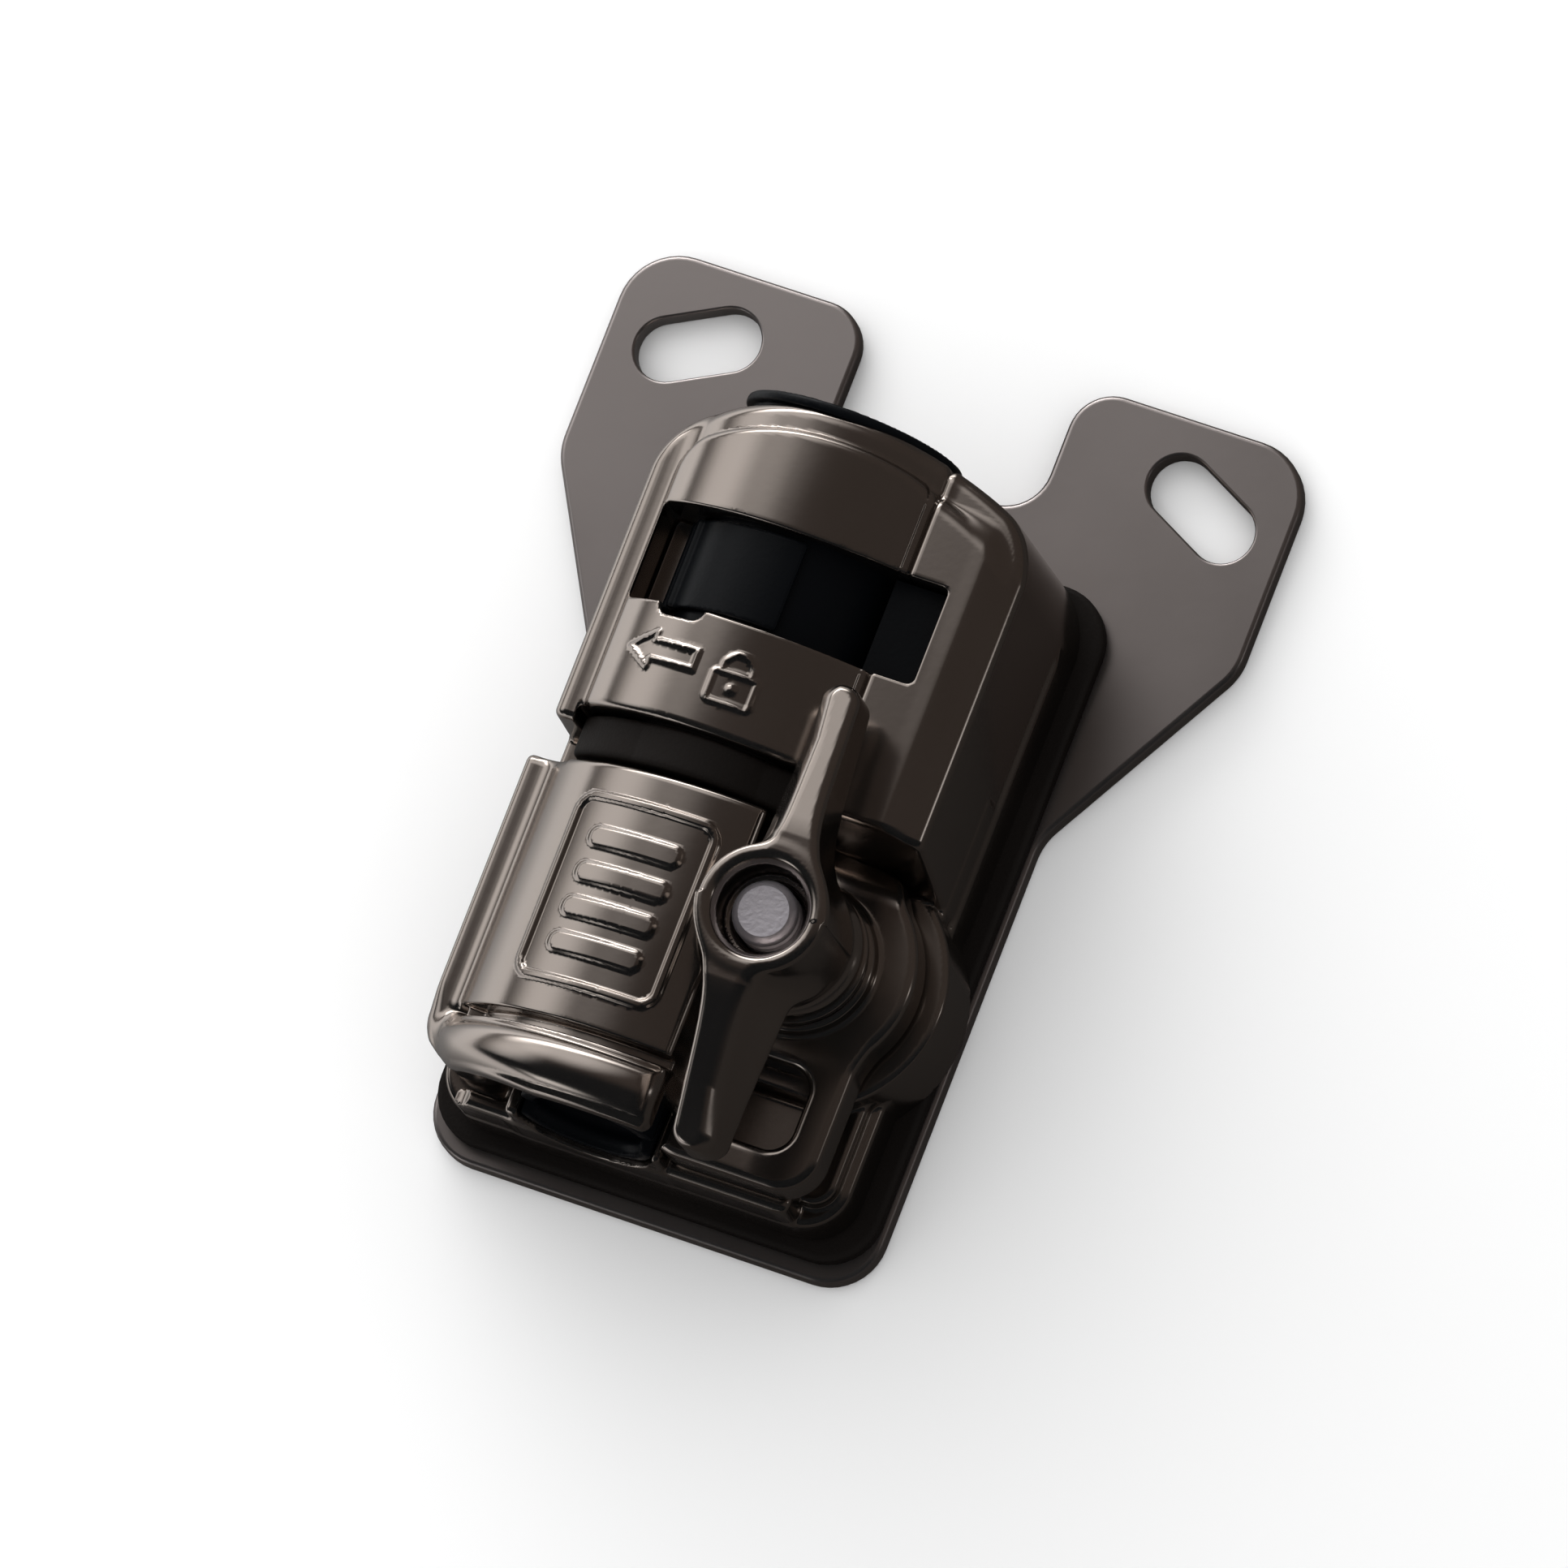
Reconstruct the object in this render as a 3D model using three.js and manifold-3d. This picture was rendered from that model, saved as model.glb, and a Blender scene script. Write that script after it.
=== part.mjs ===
// Drum tom mounting bracket: a slotted plate and a rubber gasket carry a cast body.
// The body holds a memory-lock latch round a 12.7 mm rod, and a hinged jaw that a wing nut clamps.
// Units are millimetres. Pieces are laid out in assembly coordinates: x from the plate's centre line,
// y from the plate's lower edge along the rod, z from the plate's front face. The exported group
// moves them so that the origin is at the centre of the plate's back face.
import * as THREE from 'three';
import { mergeVertices } from 'three/addons/utils/BufferGeometryUtils.js';
import Module from 'manifold-3d';

const wasm = await Module();
wasm.setup();

// Driving dimensions
const GAP = 0.3;
const PLATE = { height: 115, thick: 3, footHalf: 29.5, earHalf: 45, neckY: 60, earY: 87 };
const VALLEY = { x: 14, y: 97.5, radius: 5.5 };
const PLATE_CORNER = { foot: 7, neck: 8, ear: 7.5 };
const SLOT = { x: 33.3, y: 104.7, width: 8, length: 15.8, turn: 27 };
const GASKET = { half: 29, bottom: 2, top: 90, radius: 7, thick: 3 };
const SCREW = { x: 19, lowY: 10, highY: 85.5, radius: 2.5, headRadius: 5, tip: 9, socket: 1.3 };
const ROD = { x: -4, z: 22, bore: 6.75 };
const BASE = { half: 26.5, bottom: 3.9, skirtTop: 11, top: 56, radius: 6 };
const BLOCK = { left: -16.5, right: 22, top: 16.4 };
const FRONT_LIP = { left: -22.4, top: 6.1, height: 17.6 };
const CHANNEL = { left: -14.5, right: 5.8, top: 21.6, pocket: 8.9, insertOuter: 8.6 };
const HOUSING = { bottom: 52.4, rightBottom: 49, leftBottom: 50.6, frontHalf: 24, front: 35, bore: 13 };
const ARCH = { top: 95, drop: 6, crown: 98.5, corner: 6 };
const COVER = { x: -5.2, z: 16.2, radius: 21, left: -21.5, right: 10.5, ledge: 28 };
const WINDOW = { left: -21, right: 17, bottom: 66.5, top: 79, floor: 22 };
const STUD = { x: 14, y: 32.4, radius: 4, end: 47, headFlats: 13, headTop: 8.3 };
const BODY_EAR = { radius: 16.5, top: 16.8, springPocket: 7, springFloor: 11.5 };
const HINGE = { x: -22.5, z: 18, pinRadius: 2, knuckle: 5.5, bodyKnuckle: 3.5, cavity: 3.9 };
const HINGE_SPAN = { low: 16, high: 38, washer: 0.8, pinLow: 10, pinHigh: 45.8 };
const JAW = { top: 46.4, bottom: 10.5, arcZ: 10.5, arcRadius: 26, left: -22.3, right: 6.5, under: 22.2 };
const LIP = { bottom: 5, radius: 27.3, inner: 24, left: -24.5, right: 7, knuckleStart: 6.5 };
const JAW_EAR = { under: 17.6, face: 24, disc: 14, ring: 9.3, ringTop: 26, hole: 5.9 };
const LOOP = { left: 3, right: 25, bottom: 5, top: 26, radius: 5 };
const HUB_CLEARANCE = 9.9;
const LOOP_RECESS = { left: 7, right: 21.4, bottom: 8.6, top: 18, floor: 12.4 };
const POCKET = { left: 13, right: 22, bottom: 57, top: 78, floor: 29 };
const LOOP_WINDOW = { left: 8, right: 20.6, bottom: 9.5, top: 20 };
const NUT = { waveBottom: 26.3, washerThick: 1.2, hubBottom: 29.3, hubTop: 49.5, hubRadius: 8, bore: 4.3 };
const COUNTERBORE = { radius: 5.3, floor: 43.5 };
const WASHER = { bottom: 27.7, inner: 4.4, outer: 9 };
const WAVE = { inner: 4.6, outer: 8.6, thick: 0.6, lift: 0.5, count: 3 };
const WING = { reach: 29.4, tipHalf: 2.6, rootHalf: 7, underside: 38.2, tipTop: 46.2, turn: 2.8 };
const LATCH = { outer: 12.6, bottom: 56.6, top: 89.2, tabOuter: 14.3, tabStart: -74, tabEnd: 14 };
const COLLAR = { neck: 12.6, flange: 14.3, neckBottom: 89.6, flangeBottom: 95.3, top: 96.6 };
const BUSH = { outer: 14.2, neck: 12.6, bottom: 47, shoulder: 52.1, top: 56.2 };
const BUSH_CAP = { left: -21.8, right: 11.2, floor: 15.4, arc: 18.8 };
const BUSH_BORE = 7.05;
const GRIP_RIB = { pitch: 6, width: 2, depth: 0.6 };
const WINDOW_LINER = { left: 9.6, right: 16.6, top: 30 };
const DETENT = { y: 84, hole: 2, ball: 1.5, springRadius: 1.15, springWire: 0.3, springLength: 2.6 };
const DETENT_SCREW = { head: -25, tip: -23, slotHalf: 0.4, slotDepth: 0.7 };
const SPRING = { radius: 5.5, wire: 0.7, turns: 3 };
const SEXTANTS = [0, 1, 2, 3, 4, 5];

// ---- geometry helpers ----

const rad = THREE.MathUtils.degToRad;

function solid(geometry) {
  geometry.deleteAttribute('normal');
  geometry.deleteAttribute('uv');
  const merged = mergeVertices(geometry, 1e-4);
  const source = merged.getIndex().array;
  const triVerts = [];
  for (let i = 0; i < source.length; i += 3) {
    const [a, b, c] = [source[i], source[i + 1], source[i + 2]];
    if (a !== b && b !== c && c !== a) triVerts.push(a, b, c);
  }
  const vertProperties = new Float32Array(merged.getAttribute('position').array);
  const mesh = new wasm.Mesh({ numProp: 3, vertProperties, triVerts: new Uint32Array(triVerts) });
  return new wasm.Manifold(mesh);
}

function toGeometry(manifold) {
  const mesh = manifold.getMesh();
  const geometry = new THREE.BufferGeometry();
  geometry.setAttribute('position', new THREE.BufferAttribute(new Float32Array(mesh.vertProperties), 3));
  geometry.setIndex(new THREE.BufferAttribute(new Uint32Array(mesh.triVerts), 1));
  geometry.computeVertexNormals();
  return geometry;
}

// A closed outline whose corners [x, y, radius] are rounded by arcs.
function outline(corners) {
  const shape = new THREE.Shape();
  corners.forEach(([x, y, radius = 0], i) => {
    const here = new THREE.Vector2(x, y);
    const [px, py] = corners[(i + corners.length - 1) % corners.length];
    const [nx, ny] = corners[(i + 1) % corners.length];
    const back = new THREE.Vector2(px - x, py - y).normalize();
    const on = new THREE.Vector2(nx - x, ny - y).normalize();
    const half = Math.acos(THREE.MathUtils.clamp(back.dot(on), -1, 1)) / 2;
    const reach = radius / Math.tan(half);
    const start = here.clone().addScaledVector(back, reach);
    const end = here.clone().addScaledVector(on, reach);
    if (i === 0) shape.moveTo(start.x, start.y);
    else shape.lineTo(start.x, start.y);
    if (radius > 0) {
      const toCentre = back.clone().add(on).normalize().multiplyScalar(radius / Math.sin(half));
      const centre = here.clone().add(toCentre);
      const clockwise = back.x * on.y - back.y * on.x > 0;
      const a0 = Math.atan2(start.y - centre.y, start.x - centre.x);
      const a1 = Math.atan2(end.y - centre.y, end.x - centre.x);
      shape.absarc(centre.x, centre.y, radius, a0, a1, clockwise);
    }
  });
  shape.closePath();
  return shape;
}

function rectangle(x0, x1, y0, y1, radius = 0) {
  return outline([[x0, y0, radius], [x1, y0, radius], [x1, y1, radius], [x0, y1, radius]]);
}

function disc(x, y, radius) {
  return new THREE.Shape().absarc(x, y, radius, 0, 2 * Math.PI, false);
}

// A shape drawn in x and y, extruded from z0 to z1.
function alongZ(shape, z0, z1, curveSegments = 4) {
  const geometry = new THREE.ExtrudeGeometry(shape, { depth: z1 - z0, bevelEnabled: false, curveSegments });
  return solid(geometry.translate(0, 0, z0));
}

// A shape drawn in x and z, extruded from y0 to y1.
function alongY(shape, y0, y1, curveSegments = 4) {
  const geometry = new THREE.ExtrudeGeometry(shape, { depth: y1 - y0, bevelEnabled: false, curveSegments });
  return solid(geometry.rotateX(Math.PI / 2).translate(0, y1, 0));
}

function box(x0, x1, y0, y1, z0, z1) {
  const geometry = new THREE.BoxGeometry(x1 - x0, y1 - y0, z1 - z0);
  return solid(geometry.translate((x0 + x1) / 2, (y0 + y1) / 2, (z0 + z1) / 2));
}

// A profile of [radius, height] points turned about the local Y axis.
function turnedY(points, segments = 32) {
  const profile = points.map(([r, h]) => new THREE.Vector2(r, h));
  return solid(new THREE.LatheGeometry(profile, segments));
}

// The same profile turned about the local Z axis.
function turnedZ(points, segments = 32) {
  const profile = points.map(([r, h]) => new THREE.Vector2(r, h));
  return solid(new THREE.LatheGeometry(profile, segments).rotateX(Math.PI / 2));
}

function ringProfile(inner, outer, h0, h1) {
  return [[inner, h0], [outer, h0], [outer, h1], [inner, h1], [inner, h0]];
}

function rodProfile(radius, h0, h1, chamfer = 0) {
  const end = radius - chamfer;
  return [[0, h0], [end, h0], [radius, h0 + chamfer], [radius, h1 - chamfer], [end, h1], [0, h1]];
}

// A round wire wound along local Z, with a flat section turned by the path's frame.
function coilZ(radius, wire, z0, z1, turns) {
  class Helix extends THREE.Curve {
    getPoint(t, target = new THREE.Vector3()) {
      const a = 2 * Math.PI * turns * t;
      const z = z0 + wire + (z1 - z0 - 2 * wire) * t;
      return target.set(radius * Math.cos(a), radius * Math.sin(a), z);
    }
  }
  const section = new THREE.Shape();
  section.absarc(0, 0, wire, 0, 2 * Math.PI, false);
  return solid(new THREE.ExtrudeGeometry(section, {
    extrudePath: new Helix(), steps: turns * 11, curveSegments: 3, bevelEnabled: false,
  }));
}

// ---- materials ----

function finish(color, roughness, metalness) {
  return new THREE.MeshStandardMaterial({ color, roughness, metalness });
}

const blackNickel = finish(0x5a524c, 0.16, 1);
const platePolish = finish(0x756c68, 0.22, 1);
const zincSteel = finish(0xb9b2be, 0.35, 1);
const springSteel = finish(0x8c8c90, 0.3, 1);
const blackRubber = finish(0x111214, 0.75, 0);
const blackNylon = finish(0x0c0e10, 0.42, 0);

const assembly = new THREE.Group();

function place(name, manifold, material, x = 0, y = 0, z = 0) {
  const mesh = new THREE.Mesh(toGeometry(manifold), material);
  mesh.name = name;
  mesh.position.set(x, y, z);
  assembly.add(mesh);
  return mesh;
}

// ---- plate, gasket and plate screws ----

const SCREWS = [[-1, SCREW.lowY], [1, SCREW.lowY], [-1, SCREW.highY], [1, SCREW.highY]]
  .map(([side, y]) => [side * SCREW.x, y]);

function plateOutline() {
  const p = PLATE;
  const c = PLATE_CORNER;
  const right = [
    [p.footHalf, 0, c.foot], [p.footHalf, p.neckY, c.neck], [p.earHalf, p.earY, c.neck],
    [p.earHalf, p.height, c.ear], [VALLEY.x, p.height, VALLEY.radius], [VALLEY.x, VALLEY.y, VALLEY.radius],
  ];
  const left = right.map(([x, y, r]) => [-x, y, r]).reverse();
  return outline([...right, ...left]);
}

function slotCutter(side) {
  const half = SLOT.length / 2;
  const shape = rectangle(-half, half, -SLOT.width / 2, SLOT.width / 2, SLOT.width / 2 - 0.01);
  const cutter = alongZ(shape, -PLATE.thick - 1, 1);
  return cutter.rotate([0, 0, -side * SLOT.turn]).translate([side * SLOT.x, SLOT.y, 0]);
}

function mountPlate() {
  let plate = alongZ(plateOutline(), -PLATE.thick, 0, 3);
  for (const side of [-1, 1]) plate = plate.subtract(slotCutter(side));
  const sink = [[0, -PLATE.thick - 1], [SCREW.headRadius + 1.3, -PLATE.thick - 1],
    [SCREW.radius + GAP, -0.3], [SCREW.radius + GAP, 1], [0, 1]];
  for (const [x, y] of SCREWS) plate = plate.subtract(turnedZ(sink, 24).translate([x, y, 0]));
  return plate;
}

function gasket() {
  const g = GASKET;
  let pad = alongZ(rectangle(-g.half, g.half, g.bottom, g.top, g.radius), 0, g.thick, 3);
  for (const [x, y] of SCREWS) {
    pad = pad.subtract(alongZ(disc(x, y, SCREW.radius + GAP), -1, g.thick + 1, 8));
  }
  return pad;
}

function plateScrew() {
  const { radius, headRadius, tip } = SCREW;
  const back = -PLATE.thick + 0.2;
  const point = radius - 0.6;
  const shank = [[radius, -0.5], [radius, tip - 0.6], [point, tip]];
  const screw = turnedZ([[0, back], [headRadius, back], ...shank, [0, tip]], 16);
  return screw.subtract(hexagon(SCREW.socket, back - 1, back + 1.8));
}

place('mount_plate', mountPlate(), platePolish);
place('isolation_gasket', gasket(), blackRubber);
SCREWS.forEach(([x, y], i) => place(`plate_screw_${i + 1}`, plateScrew(), zincSteel, x, y, 0));

// ---- main body casting ----

function housing() {
  const h = HOUSING;
  const arch = new THREE.Shape();
  arch.moveTo(-BASE.half, h.leftBottom);
  arch.lineTo(COVER.left, h.leftBottom);
  arch.lineTo(COVER.left, h.bottom);
  arch.lineTo(COVER.right, h.bottom);
  arch.lineTo(COVER.right, h.rightBottom);
  arch.lineTo(BASE.half, h.rightBottom);
  const shoulder = ARCH.top - ARCH.drop;
  const inset = BASE.half - ARCH.corner;
  arch.lineTo(BASE.half, shoulder - 4);
  arch.quadraticCurveTo(BASE.half - 1, shoulder + 0.5, inset, shoulder + 2);
  arch.quadraticCurveTo(0, ARCH.crown, -inset, shoulder + 2);
  arch.quadraticCurveTo(-BASE.half + 1, shoulder + 0.5, -BASE.half, shoulder - 4);
  arch.closePath();
  const crown = COVER.z + COVER.radius;
  const block = alongZ(arch, GASKET.thick, crown, 5);
  return block.intersect(alongY(housingSection(), 40, 100, 14));
}

// Drafted side walls, a ledge on the left, the cover's arc and a flat pane on the right.
function housingSection() {
  const { x, z, radius, left, right, ledge } = COVER;
  const angle = (edge) => Math.acos((edge - x) / radius);
  const { front, frontHalf } = HOUSING;
  const section = new THREE.Shape();
  section.moveTo(-BASE.half, GASKET.thick);
  section.lineTo(BASE.half, GASKET.thick);
  section.lineTo(BASE.half - 0.4, 24);
  section.lineTo(frontHalf, front - 2.8);
  section.lineTo(frontHalf - 2.6, front);
  section.lineTo(right, front);
  section.absarc(x, z, radius, angle(right), angle(left), false);
  section.lineTo(left, ledge);
  section.lineTo(left - 2.6, ledge);
  section.lineTo(-BASE.half + 0.6, ledge - 3);
  section.closePath();
  return section;
}

function base() {
  const b = BASE;
  const under = b.skirtTop - 1;
  let body = alongZ(rectangle(-b.half, b.half, b.bottom, b.top, b.radius), GASKET.thick, b.skirtTop, 3);
  body = body.add(box(BLOCK.left, BLOCK.right, b.bottom, JAW.top, under, BLOCK.top));
  body = body.add(box(CHANNEL.left, CHANNEL.right, b.bottom, JAW.top, b.skirtTop, CHANNEL.top));
  const lip = FRONT_LIP;
  body = body.add(box(lip.left, CHANNEL.left + 1, b.bottom, lip.top, under, lip.height));
  body = body.add(alongZ(disc(STUD.x, STUD.y, BODY_EAR.radius), GASKET.thick, BODY_EAR.top, 18));
  // Side walls behind the gap between the housing and the jaw, cut back towards the plate.
  const cheek = outline([[JAW.top + 1, GASKET.thick], [60, GASKET.thick], [60, 33], [HOUSING.rightBottom, 33],
    [JAW.top + 1, 15]]);
  const cheekGeometry = new THREE.ExtrudeGeometry(cheek, { depth: 14, bevelEnabled: false });
  const upright = new THREE.Matrix4().set(0, 0, 1, 0, 1, 0, 0, 0, 0, 1, 0, 0, 0, 0, 0, 1);
  body = body.add(solid(cheekGeometry.applyMatrix4(upright).translate(BASE.half - 14.6, 0, 0)));
  return body.add(box(-BASE.half, -19, JAW.top + 1, 60, GASKET.thick, 15));
}

function bodyKnuckle() {
  const y0 = HINGE_SPAN.low + HINGE_SPAN.washer + 2 * GAP;
  const y1 = HINGE_SPAN.high - HINGE_SPAN.washer - 2 * GAP;
  const round = turnedY(rodProfile(HINGE.bodyKnuckle, y0, y1), 24).translate([HINGE.x, 0, HINGE.z]);
  return round.add(box(HINGE.x - 3, HINGE.x + 3, y0, y1, BASE.skirtTop - 1, HINGE.z));
}

function mainBody() {
  const h = HOUSING;
  let body = housing().add(base()).add(bodyKnuckle());
  const axis = (manifold) => manifold.translate([ROD.x, 0, ROD.z]);
  // Bore for the latch, seat for the lower bush, channel for the grip insert.
  body = body.subtract(axis(turnedY(rodProfile(h.bore, h.bottom - 0.5, ARCH.top + 5), 40)));
  body = body.subtract(axis(turnedY(rodProfile(BUSH.outer + GAP, JAW.top + 0.2, h.bottom), 40)));
  const cap = BUSH_CAP;
  body = body.subtract(box(cap.left - GAP, cap.right + GAP, JAW.top, h.bottom, cap.floor - GAP, 60));
  body = body.subtract(axis(turnedY(rodProfile(CHANNEL.pocket, -1, JAW.top + 1), 40)));
  // Window that shows the latch, with a dip in its lower edge for the thumb.
  const w = WINDOW;
  body = body.subtract(box(w.left, w.right, w.bottom, w.top, w.floor, 60));
  body = body.subtract(box(w.left + 3, w.left + 9, w.bottom - 1, w.bottom + 1, w.floor, 60));
  // Stud hole with the head's hexagon behind and the spring's pocket in front.
  const stud = [[0, 0], [STUD.radius + GAP, 0], [STUD.radius + GAP, BODY_EAR.springFloor],
    [BODY_EAR.springPocket, BODY_EAR.springFloor], [BODY_EAR.springPocket, 60], [0, 60]];
  const clearance = HUB_CLEARANCE - 0.1;
  const clearHub = [[0, BODY_EAR.top], [clearance, BODY_EAR.top], [clearance, 60], [0, 60]];
  body = body.subtract(turnedZ(stud, 24).translate([STUD.x, STUD.y, 0]));
  body = body.subtract(turnedZ(clearHub, 24).translate([STUD.x, STUD.y, 0]));
  const recess = LOOP_RECESS;
  body = body.subtract(box(recess.left, recess.right, recess.bottom, recess.top, recess.floor, 20));
  const headRoom = hexagon(STUD.headFlats / 2 + GAP, 0, STUD.headTop + GAP);
  body = body.subtract(headRoom.translate([STUD.x, STUD.y, 0]));
  // Hinge pin hole, lightening pocket, blind screw holes and the detent's hole.
  const pinHole = turnedY(rodProfile(HINGE.pinRadius + GAP, 0, JAW.top), 20);
  body = body.subtract(pinHole.translate([HINGE.x, 0, HINGE.z]));
  body = body.subtract(box(POCKET.left, POCKET.right, POCKET.bottom, POCKET.top, 0, POCKET.floor));
  for (const [x, y] of SCREWS) {
    const hole = turnedZ(rodProfile(SCREW.radius + GAP, 0, SCREW.tip + 0.6), 16);
    body = body.subtract(hole.translate([x, y, 0]));
  }
  const detentHole = turnedX(rodProfile(DETENT.hole, ROD.x - 30, ROD.x - 10), 20);
  return body.subtract(detentHole.translate([0, DETENT.y, ROD.z]));
}

function hexagon(apothem, z0, z1) {
  const radius = apothem / Math.cos(rad(30));
  const corners = SEXTANTS.map((i) => [radius * Math.cos(rad(60 * i)), radius * Math.sin(rad(60 * i))]);
  return alongZ(outline(corners), z0, z1);
}

// A profile of [radius, height] points turned about the local X axis, heights along +X.
function turnedX(points, segments = 20) {
  const profile = points.map(([r, h]) => new THREE.Vector2(r, h));
  return solid(new THREE.LatheGeometry(profile, segments).rotateZ(-Math.PI / 2));
}

place('main_body', mainBody(), blackNickel);

// ---- rod grip, stud and spring ----

// Half a ring round the rod with grip ribs along it, below or above the split.
function gripShell(inner, outer, y0, y1, above, split) {
  let shell = turnedY(ringProfile(inner, outer, y0, y1), 28);
  for (let y = y0 + GRIP_RIB.pitch; y < y1 - 3; y += GRIP_RIB.pitch) {
    const groove = ringProfile(inner - 1, inner + GRIP_RIB.depth, y, y + GRIP_RIB.width);
    shell = shell.subtract(turnedY(groove, 28));
  }
  const keep = above ? box(-20, 20, y0 - 1, y1 + 1, split, 30) : box(-20, 20, y0 - 1, y1 + 1, -30, split);
  return shell.intersect(keep);
}

place('body_grip_insert',
  gripShell(ROD.bore, CHANNEL.insertOuter, BASE.bottom + 0.6, JAW.top, false, CHANNEL.top - 0.4 - ROD.z),
  blackNylon, ROD.x, 0, ROD.z);

function clampStud() {
  const shank = turnedZ(rodProfile(STUD.radius, 4, STUD.end, 1), 24);
  return shank.add(hexagon(STUD.headFlats / 2, GASKET.thick + GAP, STUD.headTop));
}

place('clamp_stud', clampStud(), zincSteel, STUD.x, STUD.y, 0);
const springSpan = [BODY_EAR.springFloor + 0.2, JAW_EAR.under - 0.2];
const clampSpring = coilZ(SPRING.radius, SPRING.wire, ...springSpan, SPRING.turns);
place('clamp_spring', clampSpring, springSteel, STUD.x, STUD.y, 0);

// ---- hinge ----

const hingePin = turnedY(rodProfile(HINGE.pinRadius, HINGE_SPAN.pinLow, HINGE_SPAN.pinHigh, 0.4), 16);
place('jaw_hinge_pin', hingePin, zincSteel, HINGE.x, 0, HINGE.z);
const washerPlaces = { lower: HINGE_SPAN.low + GAP, upper: HINGE_SPAN.high - GAP - HINGE_SPAN.washer };
for (const [end, y] of Object.entries(washerPlaces)) {
  const washer = ringProfile(HINGE.pinRadius + GAP, HINGE.bodyKnuckle - 0.1, 0, HINGE_SPAN.washer);
  place(`hinge_washer_${end}`, turnedY(washer, 20), blackNylon, HINGE.x, y, HINGE.z);
}

// ---- clamp jaw and its liner ----

function jawDome(radius, left, right, y0, y1) {
  const shape = new THREE.Shape();
  const a0 = Math.acos(right / radius);
  const a1 = Math.acos(left / radius);
  shape.moveTo(left, JAW.under);
  shape.lineTo(right, JAW.under);
  shape.absarc(0, JAW.arcZ, radius, a0, a1, false);
  shape.closePath();
  return alongY(shape, y0, y1, 12);
}

function clampJaw() {
  const e = JAW_EAR;
  const w = LOOP_WINDOW;
  let jaw = jawDome(JAW.arcRadius, JAW.left, JAW.right, JAW.bottom - 1, JAW.top);
  const lipInner = alongY(disc(0, JAW.arcZ, LIP.inner), 0, JAW.bottom, 20);
  const lip = jawDome(LIP.radius, LIP.left, LIP.right, LIP.bottom, JAW.bottom).subtract(lipInner);
  jaw = jaw.add(lip);
  const onHinge = (manifold) => manifold.translate([HINGE.x, 0, HINGE.z]);
  jaw = jaw.add(onHinge(turnedY(rodProfile(HINGE.knuckle, LIP.knuckleStart, JAW.top, 0.8), 32)));
  jaw = jaw.add(box(-22, -15, LIP.knuckleStart, JAW.top, HINGE.z, 26));
  // Ear with the stud's disc, the raised ring and the pull loop.
  const ear = alongZ(disc(STUD.x, STUD.y, e.disc), e.under, e.face, 18)
    .add(alongZ(rectangle(JAW.right - 0.1, STUD.x + 8, 18, JAW.top - 0.6, 2), e.under, e.face, 2))
    .add(alongZ(rectangle(LOOP.left, LOOP.right, LOOP.bottom, LOOP.top, LOOP.radius), e.under, e.face, 3))
    .subtract(box(0, JAW.right - 0.1, 0, 60, 0, JAW.under))
    .subtract(alongZ(rectangle(w.left, w.right, w.bottom, w.top, 3), 0, 60, 3));
  const hubRoom = [[0, e.face], [HUB_CLEARANCE, e.face], [HUB_CLEARANCE, 60], [0, 60]];
  jaw = jaw.subtract(turnedZ(hubRoom, 32).translate([STUD.x, STUD.y, 0]));
  jaw = jaw.add(ear);
  jaw = jaw.add(turnedZ(rodProfile(e.ring, e.face - 1, e.ringTop, 0.5), 32).translate([STUD.x, STUD.y, 0]));
  jaw = jaw.subtract(turnedZ(rodProfile(e.hole, 0, 60), 24).translate([STUD.x, STUD.y, 0]));
  // Liner pocket, the rod's way through the lip, the pin hole and room for the body's knuckle.
  jaw = jaw.subtract(turnedY(rodProfile(CHANNEL.pocket, 0, 60), 40).translate([ROD.x, 0, ROD.z]));
  jaw = jaw.subtract(onHinge(turnedY(rodProfile(HINGE.pinRadius + GAP, HINGE_SPAN.pinLow - 0.4, 60), 20)));
  const { low, high } = HINGE_SPAN;
  jaw = jaw.subtract(onHinge(turnedY(rodProfile(HINGE.cavity, low, high), 32)));
  return jaw.subtract(box(HINGE.x - 8, HINGE.x + HINGE.cavity, low, high, 0, HINGE.z - 2))
    .subtract(box(HINGE.x, HINGE.x + HINGE.cavity, low, high, 0, HINGE.z));
}

place('clamp_jaw', clampJaw(), blackNickel);
place('jaw_liner',
  gripShell(ROD.bore, CHANNEL.insertOuter, LIP.bottom + 1, JAW.top, true, JAW.under + 0.2 - ROD.z),
  blackNylon, ROD.x, 0, ROD.z);

// ---- wing nut with its washers ----

// A wave washer: a ring whose height follows a cosine round the stud.
function waveWasher(inner, outer, z0, thick, lift, waves) {
  const profile = ringProfile(inner, outer, 0, thick).map(([r, h]) => new THREE.Vector2(r, h));
  const geometry = new THREE.LatheGeometry(profile, 36).rotateX(Math.PI / 2);
  const position = geometry.getAttribute('position');
  for (let i = 0; i < position.count; i += 1) {
    const angle = Math.atan2(position.getY(i), position.getX(i));
    position.setZ(i, position.getZ(i) + z0 + lift * (1 - Math.cos(waves * angle)) / 2);
  }
  return solid(geometry);
}

const nutWave = waveWasher(WAVE.inner, WAVE.outer, NUT.waveBottom, WAVE.thick, WAVE.lift, WAVE.count);
place('nut_wave_washer', nutWave, springSteel, STUD.x, STUD.y, 0);
const nutWasher = ringProfile(WASHER.inner, WASHER.outer, WASHER.bottom, WASHER.bottom + NUT.washerThick);
place('nut_washer', turnedZ(nutWasher, 32), zincSteel, STUD.x, STUD.y, 0);

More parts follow.
